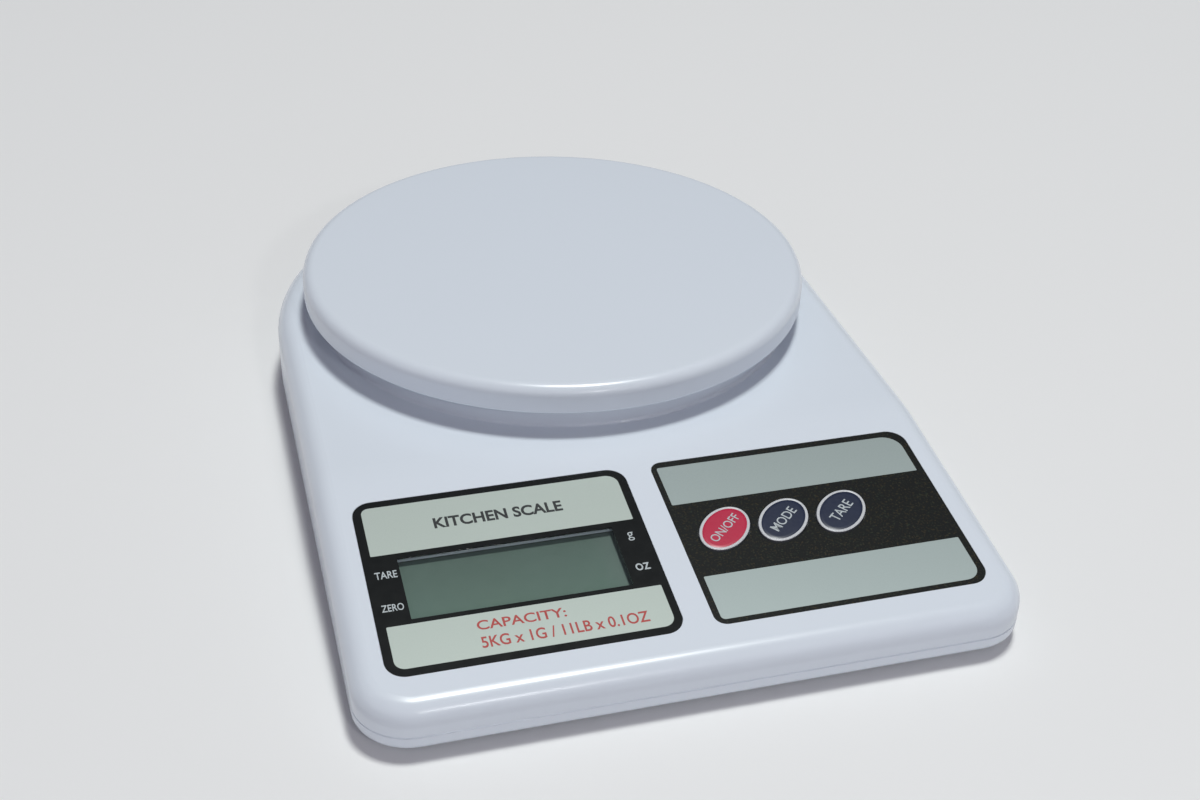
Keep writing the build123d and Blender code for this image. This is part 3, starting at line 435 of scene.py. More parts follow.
# %% Ribs and cups under the platter
def rounded_outline(left, right, low, high, radii, steps=9):
    """A rectangle's outline with its own radius at each corner; under 0.05 mm a corner is square.

    The radii are for left low, right low, right high and left high, in that order.
    """
    corners = [
        (left, low, 1, 1, 180),
        (right, low, -1, 1, 270),
        (right, high, -1, -1, 0),
        (left, high, 1, -1, 90),
    ]
    runs = []
    for (x, y, inward_x, inward_y, start), radius in zip(corners, radii):
        centre = (x + inward_x * radius, y + inward_y * radius)
        runs.append(arc(centre, radius, start, start + 90, steps if radius > 0.05 else 2))
    return np.concatenate(runs)


def rib(start, end, width, root, foot):
    """A rib between two plan points: a strip whose foot is rounded over a third of its width."""
    radii = (width / 3, width / 3, 0.01, 0.01)
    section = rounded_outline(-width / 2, width / 2, foot, root, radii, 5)
    along = (end - start) / np.linalg.norm(end - start)
    side = np.array([-along[1], along[0]])
    ends = np.stack([start, end])
    plan = ends[:, None, :] + section[None, :, :1] * side
    heights = np.broadcast_to(section[None, :, 1:], plan.shape[:2] + (1,))
    return np.concatenate([plan, heights], -1)


def round_the_axis(radius, turns):
    """Plan points at this distance from the platter's axis, for turns in degrees."""
    turns = np.radians(turns)
    return centre_plan + radius * np.stack([np.cos(turns), np.sin(turns)], -1)


rib_overlap, rib_ring, rib_width, spoke_count = 0.4, 60.0, 1.2, 8
rib_root, rib_foot = platter_under + rib_overlap, platter_under - rib_depth
centre_plan = platter_centre[:2]
spoke_ends = round_the_axis(rib_ring - rib_width / 2, np.arange(spoke_count) * 360 / spoke_count)
rib_grids = [rib(centre_plan, end, rib_width, rib_root, rib_foot) for end in spoke_ends]
ribs = surface("platter_spokes", rib_grids, [case_white], caps=True)
fasten(ribs, "platter", "white_plastic")

post_circle, cup_inside, cup_wall, cup_depth = 46.0, 4.6, 1.3, 2.4
post_plan = round_the_axis(post_circle, 45 + 90 * np.arange(4))


def wall_ring(inside, outside, root, foot, rounding=0.35):
    """The profile of a standing ring whose foot has two rounded corners."""
    return closed(np.concatenate([
        line((inside, root)),
        arc((inside + rounding, foot + rounding), rounding, 180, 270, 4),
        arc((outside - rounding, foot + rounding), rounding, 270, 360, 4),
        line((outside, root)),
    ]))


cup_profile = wall_ring(cup_inside, cup_inside + cup_wall, rib_root, platter_under - cup_depth)
ring_profile = wall_ring(rib_ring - rib_width, rib_ring, rib_root, rib_foot)
cup_grids = [turned(cup_profile, place, 48) for place in post_plan]
cups = surface("platter_cups", cup_grids, [case_white])
ring = surface("platter_ring_rib", [turned(ring_profile, platter_centre, 192)], [case_white])
fasten(cups, "platter", "white_plastic")
fasten(ring, "platter", "white_plastic")

# %% [markdown]
# ## Printed films
#
# Two plastic films fill shallow pockets in the panel. Both are black, the left one glossy and the
# right one with a sandy texture, and both carry wide silver-grey bands. The words stand on the
# left one. Real ink is a thin layer on the film, so each band is a very thin plate with rounded
# corners laid on top of it, and each word is a raised mesh. A mask in the film's shader could
# draw straight bands, but the rounded corners and the letters are crisper as geometry.

# %% Film and ink finishes
rear_line, front_line = display_film[:, 1].max(), display_film[:, 1].min()
film_gloss = moulded(
    "display_film_black", paint(17, 21, 20), drift=0.08, gloss=(0.18, 0.26), patch=9.0,
    grain=0.8, relief=0.001,
)


def sandy_film(name, base, fleck):
    """A dark film with a sandy emboss: flecks of two lighter tones and matching bumps."""
    sand_size, hue_size = 0.55, 1.1
    material, tree, shader, where = new_finish(name)
    sand = noise(tree, where, sand_size, 3.0)
    flecks = between(tree, sand, 0.0, 1.0, 0.52, 0.72)
    hue = noise(tree, where, hue_size, 2.0)
    fleck_tone = mix(tree, between(tree, hue, 0.0, 1.0, 0.4, 0.6), fleck, paint(58, 52, 36))
    tree.links.new(mix(tree, flecks, base, fleck_tone), shader.inputs["Base Color"])
    tree.links.new(between(tree, sand, 0.5, 0.34), shader.inputs["Roughness"])
    bumped(tree, shader, sand, 0.02)
    shader.inputs["Specular IOR Level"].default_value = 0.2
    return material


def silver_ink(name, full_tone, rear_painted_shade):
    """Silver screen ink: tiny metal flakes lift its tone in spots, and its rear may be painted
    darker as shade.
    """
    flake_size, drift_size = 0.35, 14.0
    material, tree, shader, where = new_finish(name)
    along = step(tree, "SeparateXYZ", {"Vector": where}).outputs["Y"]
    share = between(tree, along, 0.0, 1.0, front_line * MM, rear_line * MM)
    # painted shade: the tone darkens from the front of the film to its rear by the given share
    tone = mix(tree, share, full_tone, shaded(full_tone, rear_painted_shade))
    flakes = noise(tree, where, flake_size, 2.0)
    drift = noise(tree, where, drift_size, 2.0)
    tint = mix(tree, between(tree, drift, 0.0, 0.06, 0.0, 1.0), tone, shaded(full_tone, 0.75))
    spotted = mix(tree, between(tree, flakes, 0.0, 0.16), tint, shaded(full_tone, 1.2))
    tree.links.new(spotted, shader.inputs["Base Color"])
    tree.links.new(between(tree, flakes, 0.42, 0.34), shader.inputs["Roughness"])
    bumped(tree, shader, flakes, 0.003)
    shader.inputs["Metallic"].default_value = 0.25
    return material


keypad_black = sandy_film("keypad_film_black", paint(9, 13, 13), paint(44, 56, 46))
display_silver = silver_ink("display_silver_ink", paint(187, 198, 191), 1.0)
# the keypad's silver is painted darker towards its rear as shade
keypad_silver = silver_ink("keypad_silver_ink", paint(174, 187, 185), 0.82)
ink_black = moulded("black_ink", paint(30, 34, 36), gloss=(0.4, 0.5), relief=0.001)
ink_white = moulded("white_ink", paint(186, 194, 197), gloss=(0.4, 0.5), relief=0.001)
ink_red = moulded("red_ink", paint(178, 66, 62), drift=0.05, gloss=(0.4, 0.5), relief=0.001)
wear("display_overlay", film_gloss)
wear("keypad_overlay", keypad_black)


# %% Thin plates on the panel
def ink_plate(name, outline, base, thickness, material):
    """A flat shape on the panel: one outline at two heights above the film, closed at both."""
    across, down = outline[:, 0], outline[:, 1]
    levels = np.array([base, base + thickness])[:, None]
    grid = from_panel(across[None, :] + 0 * levels, down[None, :] + 0 * levels, levels)
    return surface(name, [grid], [material], caps=True)


def film_edges(node):
    """Left edge, right edge and lowest edge of a film, in panel coordinates."""
    flat = in_panel(node_points(node))
    return flat[:, 0].min(), flat[:, 0].max(), flat[:, 1].max()


display_left, display_right, film_bottom = film_edges("display_overlay")
keypad_left, keypad_right, _ = film_edges("keypad_overlay")
ink_thick = 0.015
print("film is", round(film_bottom, 2), "mm down the slope; ink", ink_thick, "mm")


# %% Silver bands
def band(name, left, right, top, bottom, radii, material):
    """A silver band: the radii at its corners go round clockwise from the upper left."""
    outline = rounded_outline(left, right, top, bottom, radii)
    slot = "textured_film" if material is keypad_silver else "printed_film"
    return fasten(ink_plate(name, outline, 0.0, ink_thick, material), "case", slot)


# each band: its name, margins left and right on the film, top and bottom down the slope, radii
display_bands = (
    ("display_band_rear", 2.25, 2.25, 2.1, 19.1, (2.0, 3.2, 0.3, 0.3)),
    ("display_band_front", 2.25, 1.95, 42.6, 55.9, (0.3, 0.3, 3.0, 2.6)),
)
keypad_bands = (
    ("keypad_band_rear", 1.55, 1.85, 2.0, 16.4, (0.6, 5.0, 0.3, 0.3)),
    ("keypad_band_front", 1.65, 1.85, 42.2, 56.6, (0.3, 0.3, 4.0, 1.2)),
)
for name, left, right, top, bottom, radii in display_bands:
    band(name, display_left + left, display_right - right, top, bottom, radii, display_silver)
for name, left, right, top, bottom, radii in keypad_bands:
    band(name, keypad_left + left, keypad_right - right, top, bottom, radii, keypad_silver)


# %% [markdown]
# ## Lettering
#
# The labels carry only plain words for what the scale does: which unit and state the display
# marks, what the scale can carry, and what each key does. Blender's own typeface is converted to
# a mesh, stretched to the width and height wanted, and then carried onto the panel. Converting
# first means the letters' place is in their corners, like every other piece.


# %% Words as thin meshes
def letters(name, words, width, height, thickness, material, bold=0.0):
    """Words as a mesh, and its corners centred on zero and stretched to a width and a height."""
    text = bpy.data.curves.new(name, "FONT")
    text.body, text.extrude, text.offset, text.resolution_u = words, 0.5, bold, 4
    holder = bpy.data.objects.new(name, text)
    bpy.context.scene.collection.objects.link(holder)
    evaluated = holder.evaluated_get(bpy.context.evaluated_depsgraph_get())
    mesh = bpy.data.meshes.new_from_object(evaluated)
    bpy.data.objects.remove(holder)
    points = np.empty(3 * len(mesh.vertices), np.float32)
    mesh.vertices.foreach_get("co", points)
    points = points.reshape(-1, 3).astype(float)
    low, high = points.min(0), points.max(0)
    points = (points - (low + high) / 2) / (high - low) * np.array([width, height, thickness])
    mesh.name = name
    mesh.materials.clear()
    return add_object(name, mesh, [material]), points


def place_letters(obj, points, across, down, out, turn=0.0):
    """Turns the words in their plane, carries them onto the panel and closes their corners."""
    cos, sin = math.cos(math.radians(turn)), math.sin(math.radians(turn))
    x, y, z = points.T
    placed = from_panel(across + cos * x - sin * y, down - sin * x - cos * y, out + z)
    obj.data.vertices.foreach_set("co", (placed * MM).ravel())
    finish_shell(obj.data, sharp_degrees=30)
    return obj


def label_words(name, words, left, right, top, bottom, base, material, bold=0.0):
    """Words that fill a box on the panel."""
    obj, points = letters(name, words, right - left, bottom - top, ink_thick, material, bold)
    place_letters(obj, points, (left + right) / 2, (top + bottom) / 2, base + ink_thick / 2)
    print(name, "is", round(right - left, 1), "mm wide")
    return fasten(obj, "case", "printed_film")


# each label: its name, words, left and right edge from the film's left edge, top and bottom down
# the slope, the height it stands on, its ink and how much bolder than the typeface it is
on_band = ink_thick
label_list = (
    ("title_words", "KITCHEN SCALE", 19.35, 52.35, 8.7, 12.5, on_band, ink_black, 0.03),
    ("tare_mark", "TARE", 2.25, 7.65, 24.6, 27.0, 0.0, ink_white, 0.012),
    ("zero_mark", "ZERO", 2.15, 7.45, 35.5, 37.8, 0.0, ink_white, 0.012),
    ("gram_mark", "g", 65.75, 67.35, 23.5, 26.5, 0.0, ink_white, 0.0),
    ("ounce_mark", "oz", 64.75, 68.35, 34.5, 36.9, 0.0, ink_white, 0.005),
    ("capacity_words", "CAPACITY:", 22.95, 44.45, 44.9, 47.9, on_band, ink_red, 0.015),
    ("range_words", "5KG x 1G / 11LB x 0.1OZ", 22.95, 63.45, 50.0, 53.5, on_band, ink_red, 0.015),
)
for name, words, left, right, *rest in label_list:
    label_words(name, words, display_left + left, display_left + right, *rest)

# %% [markdown]
# ## Display
#
# Behind the left film sits a clear acrylic window, and behind that the liquid crystal glass, dark
# grey-green with nothing switched on. The window could be true refracting glass, but light then
# has to bend its way in and the display turns noisy. A thin pane hardly bends anything, so it is
# clear with a mirror on top that grows at low angles, which is what the eye sees.


# %% Clear window
def clear_pane(name):
    """Lets light straight through but for what its polished face mirrors, more at low angles."""
    material, tree, shader, where = new_finish(name)
    tree.nodes.remove(shader)
    smear = noise(tree, where, 6.0, 4.0)
    through = step(tree, "BsdfTransparent", {"Color": (0.93, 0.96, 0.95, 1.0)})
    polish = between(tree, smear, 0.02, 0.06)
    mirror = step(tree, "BsdfGlossy", {"Roughness": polish, "Color": (1, 1, 1, 1)})
    share = step(tree, "Fresnel", {"IOR": 1.49}).outputs[0]
    inside = step(tree, "NewGeometry", {}).outputs["Backfacing"]
    outside = step(tree, "Math", {0: 1.0, 1: inside}, operation="SUBTRACT").outputs[0]
    shine = step(tree, "Math", {0: share, 1: outside}, operation="MULTIPLY").outputs[0]
    blend = step(tree, "MixShader", {0: shine, 1: through.outputs[0], 2: mirror.outputs[0]})
    output = next(node for node in tree.nodes if node.type == "OUTPUT_MATERIAL")
    tree.links.new(blend.outputs[0], output.inputs["Surface"])
    return material


wear("display_window", clear_pane("clear_acrylic"))


# %% Liquid crystal glass
def crystal_glass(name):
    """Unlit display: a grey film, greener down the slope and painted darker at the top as the
    shadow of its recess, paler along the right edge as painted light, with the cloud of its
    polariser.
    """
    material, tree, shader, where = new_finish(name)
    low, high = node_box("lcd_glass")
    split = step(tree, "SeparateXYZ", {"Vector": where})
    down = between(tree, split.outputs["Y"], 0.0, 1.0, high[1] * MM, low[1] * MM)
    left = between(tree, split.outputs["X"], 0.0, 1.0, low[0] * MM, high[0] * MM)
    slow = noise(tree, where, 30.0, 1.0)
    # painted shadow: the top of the glass, under the rim of the recess, is darker than the bottom
    tone = mix(tree, down, paint(97, 110, 104), paint(114, 133, 123))
    tone = mix(tree, between(tree, slow, 0.0, 0.3), tone, paint(110, 129, 124))
    # painted light: a paler grey band along the right edge of the glass
    tone = mix(tree, between(tree, left, 0.0, 0.6, 0.86, 1.0), tone, paint(124, 130, 128))
    tree.links.new(tone, shader.inputs["Base Color"])
    tree.links.new(between(tree, noise(tree, where, 3.0), 0.29, 0.34), shader.inputs["Roughness"])
    bumped(tree, shader, noise(tree, where, 0.4), 0.0006)
    return material


wear("lcd_glass", crystal_glass("display_glass"))
frame_black = moulded(
    "black_plastic", paint(36, 37, 39), drift=0.06, gloss=(0.38, 0.5), grain=0.4, relief=0.006
)
wear("lcd_frame", frame_black)

# %% [markdown]
# ## Keys
#
# Each key is an oval cap that stands half a millimetre proud: a pale ring, a fine groove, and a
# coloured pad that is a little domed. Under the panel it widens to a flange, so it can't fall out,
# and ends in a stem that rests on its switch. The whole key is one profile of ovals: each row
# gives two half-widths and a height, and the finish changes where the groove is.


# %% Oval key surfaces
def oval_grid(rows, across, down, turn, columns=120):
    """Ovals stacked along the panel's normal, each row (long half, short half, height).

    P(i, j) = centre + turn(a_i cos t_j, b_i sin t_j), height h_i.
    """
    t = np.linspace(0, 2 * np.pi, columns, endpoint=False)
    long_half, short_half, height = (rows[:, k : k + 1] for k in range(3))
    u, v = long_half * np.cos(t), short_half * np.sin(t)
    cos, sin = math.cos(math.radians(turn)), math.sin(math.radians(turn))
    return from_panel(across + cos * u - sin * v, down - sin * u - cos * v, height + 0 * u)


def key_measures(node):
    """Middle of a key across and down the panel, then the heights of its top and its foot."""
    flat = in_panel(node_points(node))
    low, high = flat.min(0), flat.max(0)
    return (low[0] + high[0]) / 2, (low[1] + high[1]) / 2, high[2], low[2]


key_long, key_short, key_turn = 8.5, 5.9, 46.0
pad_long, pad_short, pad_dome = 7.62, 5.02, 0.05
edge_round, edge_sink = 0.35, 0.02
film_sink, flange_depth = 0.05, 2.3
flange_out, flange_thick, flange_bevel = 0.9, 0.8, 0.1
stem_radius, stem_bevel = 1.6, 0.3


def key_rows(top, foot):
    """Rows of one key, from the middle of its pad over ring and edge to the end of its stem."""
    share = np.linspace(0, 1, 9)[:, None]
    pad = share * (pad_long, pad_short, 0.0) + (0.0, 0.0, top) - share**2 * (0.0, 0.0, pad_dome)
    # how far out from the pad and how far below the top: three rows of groove, two of ring
    out, sink = np.array([(0.08, 0.09), (0.16, 0.09), (0.24, 0.05), (0.32, 0.015), (0.43, 0.01)]).T
    groove_and_ring = np.stack([pad_long + out, pad_short + out, top - sink], -1)
    t = np.radians(np.linspace(90, 0, 7))[:, None]
    corner = np.array([key_long, key_short, top - edge_sink]) - edge_round
    edge = corner + edge_round * np.concatenate([np.cos(t), np.cos(t), np.sin(t)], 1)
    flange_top = film_sink - flange_depth
    flange_bottom = flange_top - flange_thick
    long_flange, short_flange = key_long + flange_out, key_short + flange_out
    below = np.array([
        (key_long, key_short, flange_top),
        (long_flange - flange_bevel, short_flange - flange_bevel, flange_top),
        (long_flange, short_flange, flange_top - flange_bevel),
        (long_flange, short_flange, flange_bottom),
        (stem_radius + stem_bevel, stem_radius + stem_bevel, flange_bottom),
        (stem_radius, stem_radius, flange_bottom - stem_bevel),
        (stem_radius, stem_radius, foot),
        (0, 0, foot),
    ])
    return np.concatenate([pad, groove_and_ring, edge, below]), len(pad)


def key_paint(name, tone, drift):
    """The satin colour of a key's pad."""
    return moulded(name, tone, drift, (0.3, 0.42), patch=3.0, grain=0.3, relief=0.004)


key_ring = moulded("key_ring_grey", paint(206, 208, 211), grain=0.4)
key_red = key_paint("key_red", paint(188, 36, 70), 0.06)
key_navy = key_paint("key_navy", paint(25, 36, 62), 0.1)
# painted shade: the lower part of each key's rounded edge, and all below it, is a darker copy of
# the pale ring's grey
painted_edge_shade = moulded("edge_grey_painted_shade", paint(92, 94, 98), gloss=(0.35, 0.45), grain=0.4)
key_list = (
    ("on_off", "ON/OFF", 11.6, 2.5, key_red, "key_red"),
    ("mode", "MODE", 9.8, 2.7, key_navy, "key_navy"),
    ("tare", "TARE", 8.6, 2.8, key_navy, "key_navy"),
)

# %% Make the three keys
ring_strips = 9  # groove, ring and the upper part of the rounded edge are pale
words_thick, words_sink, words_turn = 0.12, 0.035, 41.0
for key_name, words, words_width, words_height, pad_finish, slot_name in key_list:
    body = f"{key_name}_button"
    across, down, top, foot = key_measures(f"{key_name}_key")
    rows, pad_rows = key_rows(top, foot)
    strips = np.arange(len(rows) - 1)
    # finish 2 is the darker grey painted as shade
    finishes = np.where(strips < pad_rows, 0, np.where(strips < pad_rows + ring_strips, 1, 2))
    grid = oval_grid(rows, across, down, key_turn)
    coats = [pad_finish, key_ring, painted_edge_shade]
    cap = surface(f"{key_name}_cap", [grid], coats, bands=finishes, sharp_degrees=40)
    fasten(cap, body, slot_name, f"{key_name}_key")
    obj, points = letters(
        f"{key_name}_words", words, words_width, words_height, words_thick, ink_white, 0.005
    )
    place_letters(obj, points, across, down, top - words_sink, words_turn)
    fasten(obj, body, slot_name)

# %% [markdown]
# ## Feet
#
# Four soft grey feet are pressed into sockets under the case. Each has a rounded edge and a
# shallow dish in its sole, so it grips like a cup. They are turned shapes again.

# %% Rubber feet
rubber = moulded(
    "grey_rubber", paint(120, 122, 126), drift=0.08, gloss=(0.6, 0.75), patch=4.0, grain=0.25,
    relief=0.015,
)
foot_round, lip_height, dish_height, dish_start, dish_end = 0.9, 0.1, 0.45, 0.6, 3.4
dish_radii = np.linspace(dish_start, dish_end, 7)
dish_heights = lip_height + dish_height * np.cos(np.linspace(0.3, np.pi / 2, 7))
for corner in ("front_right", "rear_right", "rear_left", "front_left"):
    low, high = node_box(f"foot_{corner}")
    radius = (high[0] - low[0]) / 2
    sole = np.concatenate([
        line((0, low[2] + lip_height + dish_height)),
        np.stack([dish_radii, low[2] + dish_heights], -1),
        arc((radius - foot_round, low[2] + foot_round), foot_round, -90, 0, 7),
        line((radius, high[2]), (0, high[2])),
    ])
    sole[:, 1] = np.clip(sole[:, 1], low[2], high[2])
    pad = surface(f"rubber_foot_{corner}", [turned(sole, (low + high) / 2, 72)], [rubber])
    fasten(pad, "case", "rubber_grey", f"foot_{corner}")

# %% [markdown]
# ## Metal parts
#
# Screws are plated steel, springs and contacts are bright nickel, and the load cell is a milled
# aluminium bar. All three are metals, so their colour is the colour of what they mirror, and most
# of their look comes from how the roughness varies.

# %% Metal finishes
plated_steel = moulded(
    "plated_steel", paint(186, 188, 192), drift=0.08, gloss=(0.28, 0.42), patch=3.0, grain=0.2,
    relief=0.004, Metallic=1.0,
)
bright_nickel = moulded(
    "bright_nickel", paint(205, 203, 196), drift=0.06, gloss=(0.14, 0.26), patch=2.5,
    grain=0.25, Metallic=1.0,
)


def milled_bar(name, colour):
    """Milled aluminium: fine lines along the bar, left by the cutter, over cloudy gloss."""
    material, tree, shader, where = new_finish(name)
    squeezed = step(tree, "Mapping", {"Vector": where, "Scale": (0.04, 1.0, 1.0)}).outputs[0]
    lines = noise(tree, squeezed, 0.35, 3.0)
    tone = mix(tree, lines, shaded(colour, 0.85), shaded(colour, 1.1))
    tree.links.new(tone, shader.inputs["Base Color"])
    tree.links.new(between(tree, lines, 0.28, 0.45), shader.inputs["Roughness"])
    bumped(tree, shader, lines, 0.01)
    shader.inputs["Metallic"].default_value = 1.0
    return material


cell_bar = milled_bar("milled_aluminium", paint(196, 199, 203))
for node in ("load_cell", "load_cell_base_plate", "load_cell_spacer"):
    wear(node, cell_bar)
for node in ("battery_plate_contact", "battery_spring_contact", "battery_bridge_contact"):
    wear(node, bright_nickel)

# %% [markdown]
# ## Screws
#
# Fourteen screws hold the scale together: four in the case, six in the board and four in the load
# cell. A real one has a domed head with a cross recess and a thread that winds up its shank. Both
# are terms in one grid: the recess lowers the head where a point lies within either arm of the
# cross, and the thread moves the shank in and out with height minus turn. A screw modifier could
# wind the thread, but it would leave head and shank apart.


# %% One screw as a single grid
def screw_grid(head_radius, head_height, shank_radius, length, pitch=1.0, columns=72):
    """A screw along its own axis, from the middle of its head down to its tip, as (x, y, depth).

    Head: depth = 0.3 (r / R)^4 + recess, where recess falls off beside the arms of the cross.
    Shank: radius = R - 0.3 |2 fraction(depth / pitch - t / 2 pi) - 1|, drawn in to a point.
    """
    dome_drop, recess_share, thread_depth, tip_length = 0.3, 0.55, 0.3, 1.4
    arm_half, arm_reach = 0.15 * head_radius, 0.62 * head_radius
    t = np.linspace(0, 2 * np.pi, columns, endpoint=False)
    r = head_radius * np.linspace(0, 1, 26)[:, None] + 0 * t
    x, y = np.abs(r * np.cos(t)), np.abs(r * np.sin(t))
    inside = np.clip((arm_half - np.minimum(x, y)) / 0.12 + 0.5, 0, 1)
    inside = inside * np.clip((arm_reach - np.maximum(x, y)) / 0.2, 0, 1)
    top = dome_drop * (r / head_radius) ** 4 + recess_share * head_height * inside
    under = line(
        (head_radius, head_height - 0.1),
        (head_radius - 0.15, head_height),
        (shank_radius + 0.2, head_height),
        (shank_radius, head_height + 0.1),
    )
    rows = int(8 * length / pitch)
    along = np.linspace(0.15, length, rows)[:, None] + 0 * t
    ridge = np.abs(2 * ((along / pitch - t / (2 * np.pi)) % 1.0) - 1)
    point = np.clip((length - along) / tip_length, 0, 1) ** 0.6
    shank = (shank_radius - thread_depth * ridge * np.clip(along / pitch, 0, 1)) * point
    radius = np.concatenate([r, under[:, :1] + 0 * t, shank])
    depth = np.concatenate([top, under[:, 1:] + 0 * t, head_height + along])
    return radius * np.cos(t), radius * np.sin(t), depth


# %% Put a set of screws where the frame has them
def groups(points, reach):
    """Points in groups, each within a reach of its first point over the first two coordinates."""
    found = []
    while len(points):
        near = np.abs(points[:, :2] - points[0, :2]).max(1) < reach
        found.append(points[near])
        points = points[~near]
    return found


def screw_set(name, node, size, head_up=False, on_panel=False):
    """Screws at every place a frame node has one; on the panel they stand square to its slope.

    Size is the radius and height of the head and the radius of the shank.
    """
    head_radius, head_height, shank_radius = size
    one_head = 2.2 * head_radius
    corners = node_points(node)
    grids = []
    for group in groups(in_panel(corners) if on_panel else corners, one_head):
        low, high = group.min(0), group.max(0)
        length = high[2] - low[2] - head_height
        x, y, depth = screw_grid(head_radius, head_height, shank_radius, length)
        u, v = (low[0] + high[0]) / 2 + x, (low[1] + high[1]) / 2 + y
        w = high[2] - depth if head_up else low[2] + depth
        grids.append(from_panel(u, v, w) if on_panel else np.stack([u, v, w], -1))
    made = surface(name, grids, [plated_steel], sharp_degrees=48)
    print(node, "has", len(grids), "screws")
    return fasten(made, frame["nodes"][node]["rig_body"], "screw_steel", node)


case_size, board_size, cell_size = (2.9, 1.8, 1.45), (2.2, 1.5, 1.1), (3.8, 2.2, 2.0)
screw_set("case_screw_set", "case_screws", case_size)
screw_set("board_screw_set", "board_screws", board_size, on_panel=True)
screw_set("load_cell_base_screw_set", "load_cell_base_screws", cell_size)
screw_set("load_cell_top_screw_set", "load_cell_top_screws", cell_size, head_up=True)

# %% [markdown]
# ## Batteries
#
# Two plain cells lie side by side, nose to tail. A cell is a steel can in a printed sleeve: a
# flat negative base with a pressed ring, a long wall, and a small nose at the positive end. One
# profile carried round the long axis gives all of it, and the finish changes along the wall.

# %% Cell finishes
cell_dark = moulded("cell_sleeve_dark", paint(34, 36, 42), 0.05, (0.16, 0.26), patch=6.0)
cell_copper = moulded(
    "cell_sleeve_copper", paint(196, 128, 66), drift=0.06, gloss=(0.18, 0.26), patch=5.0,
    grain=0.4, Metallic=0.8,
)


# %% One cell from its frame node
def cell_rows(radius, nose_radius, body, whole):
    """Rows of (radius, distance from the negative end), and the finish of each strip.

    Finish 0 is bare metal, 1 the dark part of the sleeve and 2 its copper part.
    """
    edge_round, shoulder_round, nose_round, seat_sink = 0.6, 0.7, 0.4, 0.25
    copper_from = 0.72 * body
    wall_stops = (3.0, copper_from, copper_from + 0.05, body - shoulder_round)
    base = line((0, 0), (radius - 1.9, 0), (radius - 1.6, 0.3), (radius - 1.2, 0.3))
    edge = arc((radius - edge_round, edge_round), edge_round, -90, 0, 6)
    wall = line(*((radius, stop) for stop in wall_stops))
    shoulder = arc((radius - shoulder_round, body - shoulder_round), shoulder_round, 15, 90, 6)
    seat_level = body - seat_sink
    seat = line((radius - 1.1, seat_level), (nose_radius + 0.6, seat_level), (nose_radius, body))
    nose = arc((nose_radius - nose_round, whole - nose_round), nose_round, 0, 90, 5)
    rows = np.concatenate([base, edge, wall, shoulder, seat, nose, line((0, whole))])
    strip = np.arange(len(rows) - 1)
    sleeve_start = len(base)
    sleeve_end = sleeve_start + len(edge) + len(wall) + len(shoulder) - 1
    last_dark = sleeve_start + len(edge) + 1
    bare = (strip < sleeve_start) | (strip >= sleeve_end)
    return rows, np.where(bare, 0, np.where(strip > last_dark, 2, 1))


def battery_cell(name, node):
    """P(i, j) = (end + sign s_i, y0 + r_i cos t_j, z0 + r_i sin t_j)."""
    corners = node_points(node)
    low, high = corners.min(0), corners.max(0)
    middle, radius = (low + high) / 2, (high[1] - low[1]) / 2
    away = np.hypot(*(corners - middle)[:, 1:].T)
    right_end = away[corners[:, 0] > high[0] - 0.1].max()
    left_end = away[corners[:, 0] < low[0] + 0.1].max()
    nose_radius = min(right_end, left_end)
    sign = 1.0 if right_end < left_end else -1.0
    whole, nose_length = high[0] - low[0], 1.5
    rows, finish = cell_rows(radius, nose_radius, whole - nose_length, whole)
    t = np.linspace(0, 2 * np.pi, 96, endpoint=False)
    x = (low[0] if sign > 0 else high[0]) + sign * rows[:, 1:] + 0 * t
    y, z = middle[1] + rows[:, :1] * np.cos(t), middle[2] + rows[:, :1] * np.sin(t)
    grid = np.stack([x, y, z], -1)
    made = surface(name, [grid], [bright_nickel, cell_dark, cell_copper], bands=finish)
    return fasten(made, "case", "battery_can", node)


battery_cell("rear_cell", "battery_cell_rear")
battery_cell("front_cell", "battery_cell_front")

# %% [markdown]
# ## Electronics and wiring
#
# Under the panel lies a green circuit board. Its copper tracks show through the lacquer as paler
# lines, a blob of black epoxy covers the chip, and a striped rubber connector presses between
# board and display glass. These pieces are plain blocks and discs, so the frame's own shapes stay
# and only their finishes are worked out: lines from a brick pattern, stripes from a wave.

# %% Inner plastic and electronic finishes
def lacquered_board(name, lacquer, track):
    """Green lacquer over copper: tracks stand proud where a brick pattern has its joints."""
    material, tree, shader, where = new_finish(name)
    sizes = {"Mortar Size": 0.3 * MM, "Brick Width": 9 * MM, "Row Height": 2.2 * MM}
    joints = {"Vector": where, "Scale": 1.0, **sizes, "Mortar Smooth": 0.2, "Bias": 0.0}
    tracks = step(tree, "TexBrick", joints).outputs["Fac"]
    clouds = noise(tree, where, 5.0, 3.0)
    base = mix(tree, clouds, shaded(lacquer, 0.85), shaded(lacquer, 1.15))
    tree.links.new(mix(tree, tracks, base, track), shader.inputs["Base Color"])
    tree.links.new(between(tree, clouds, 0.28, 0.4), shader.inputs["Roughness"])
    bumped(tree, shader, tracks, 0.03)
    return material


def striped_rubber(name, rubber_tone, stripe_tone):
    """Silicone rubber with dark conducting stripes: a wave along x, one stripe to a millimetre.

    The texture's own bands repeat every pi / 10 at scale 1, which makes 3.2 mm into 1 mm.
    """
    material, tree, shader, where = new_finish(name)
    stripes = {"Vector": where, "Scale": 1 / (3.2 * MM), "Distortion": 0.0}
    wave = step(tree, "TexWave", stripes).outputs["Fac"]
    tone = mix(tree, between(tree, wave, 0.0, 1.0, 0.45, 0.6), rubber_tone, stripe_tone)
    tree.links.new(tone, shader.inputs["Base Color"])
    tree.links.new(between(tree, noise(tree, where, 0.4), 0.5, 0.65), shader.inputs["Roughness"])
    bumped(tree, shader, wave, 0.01)
    return material


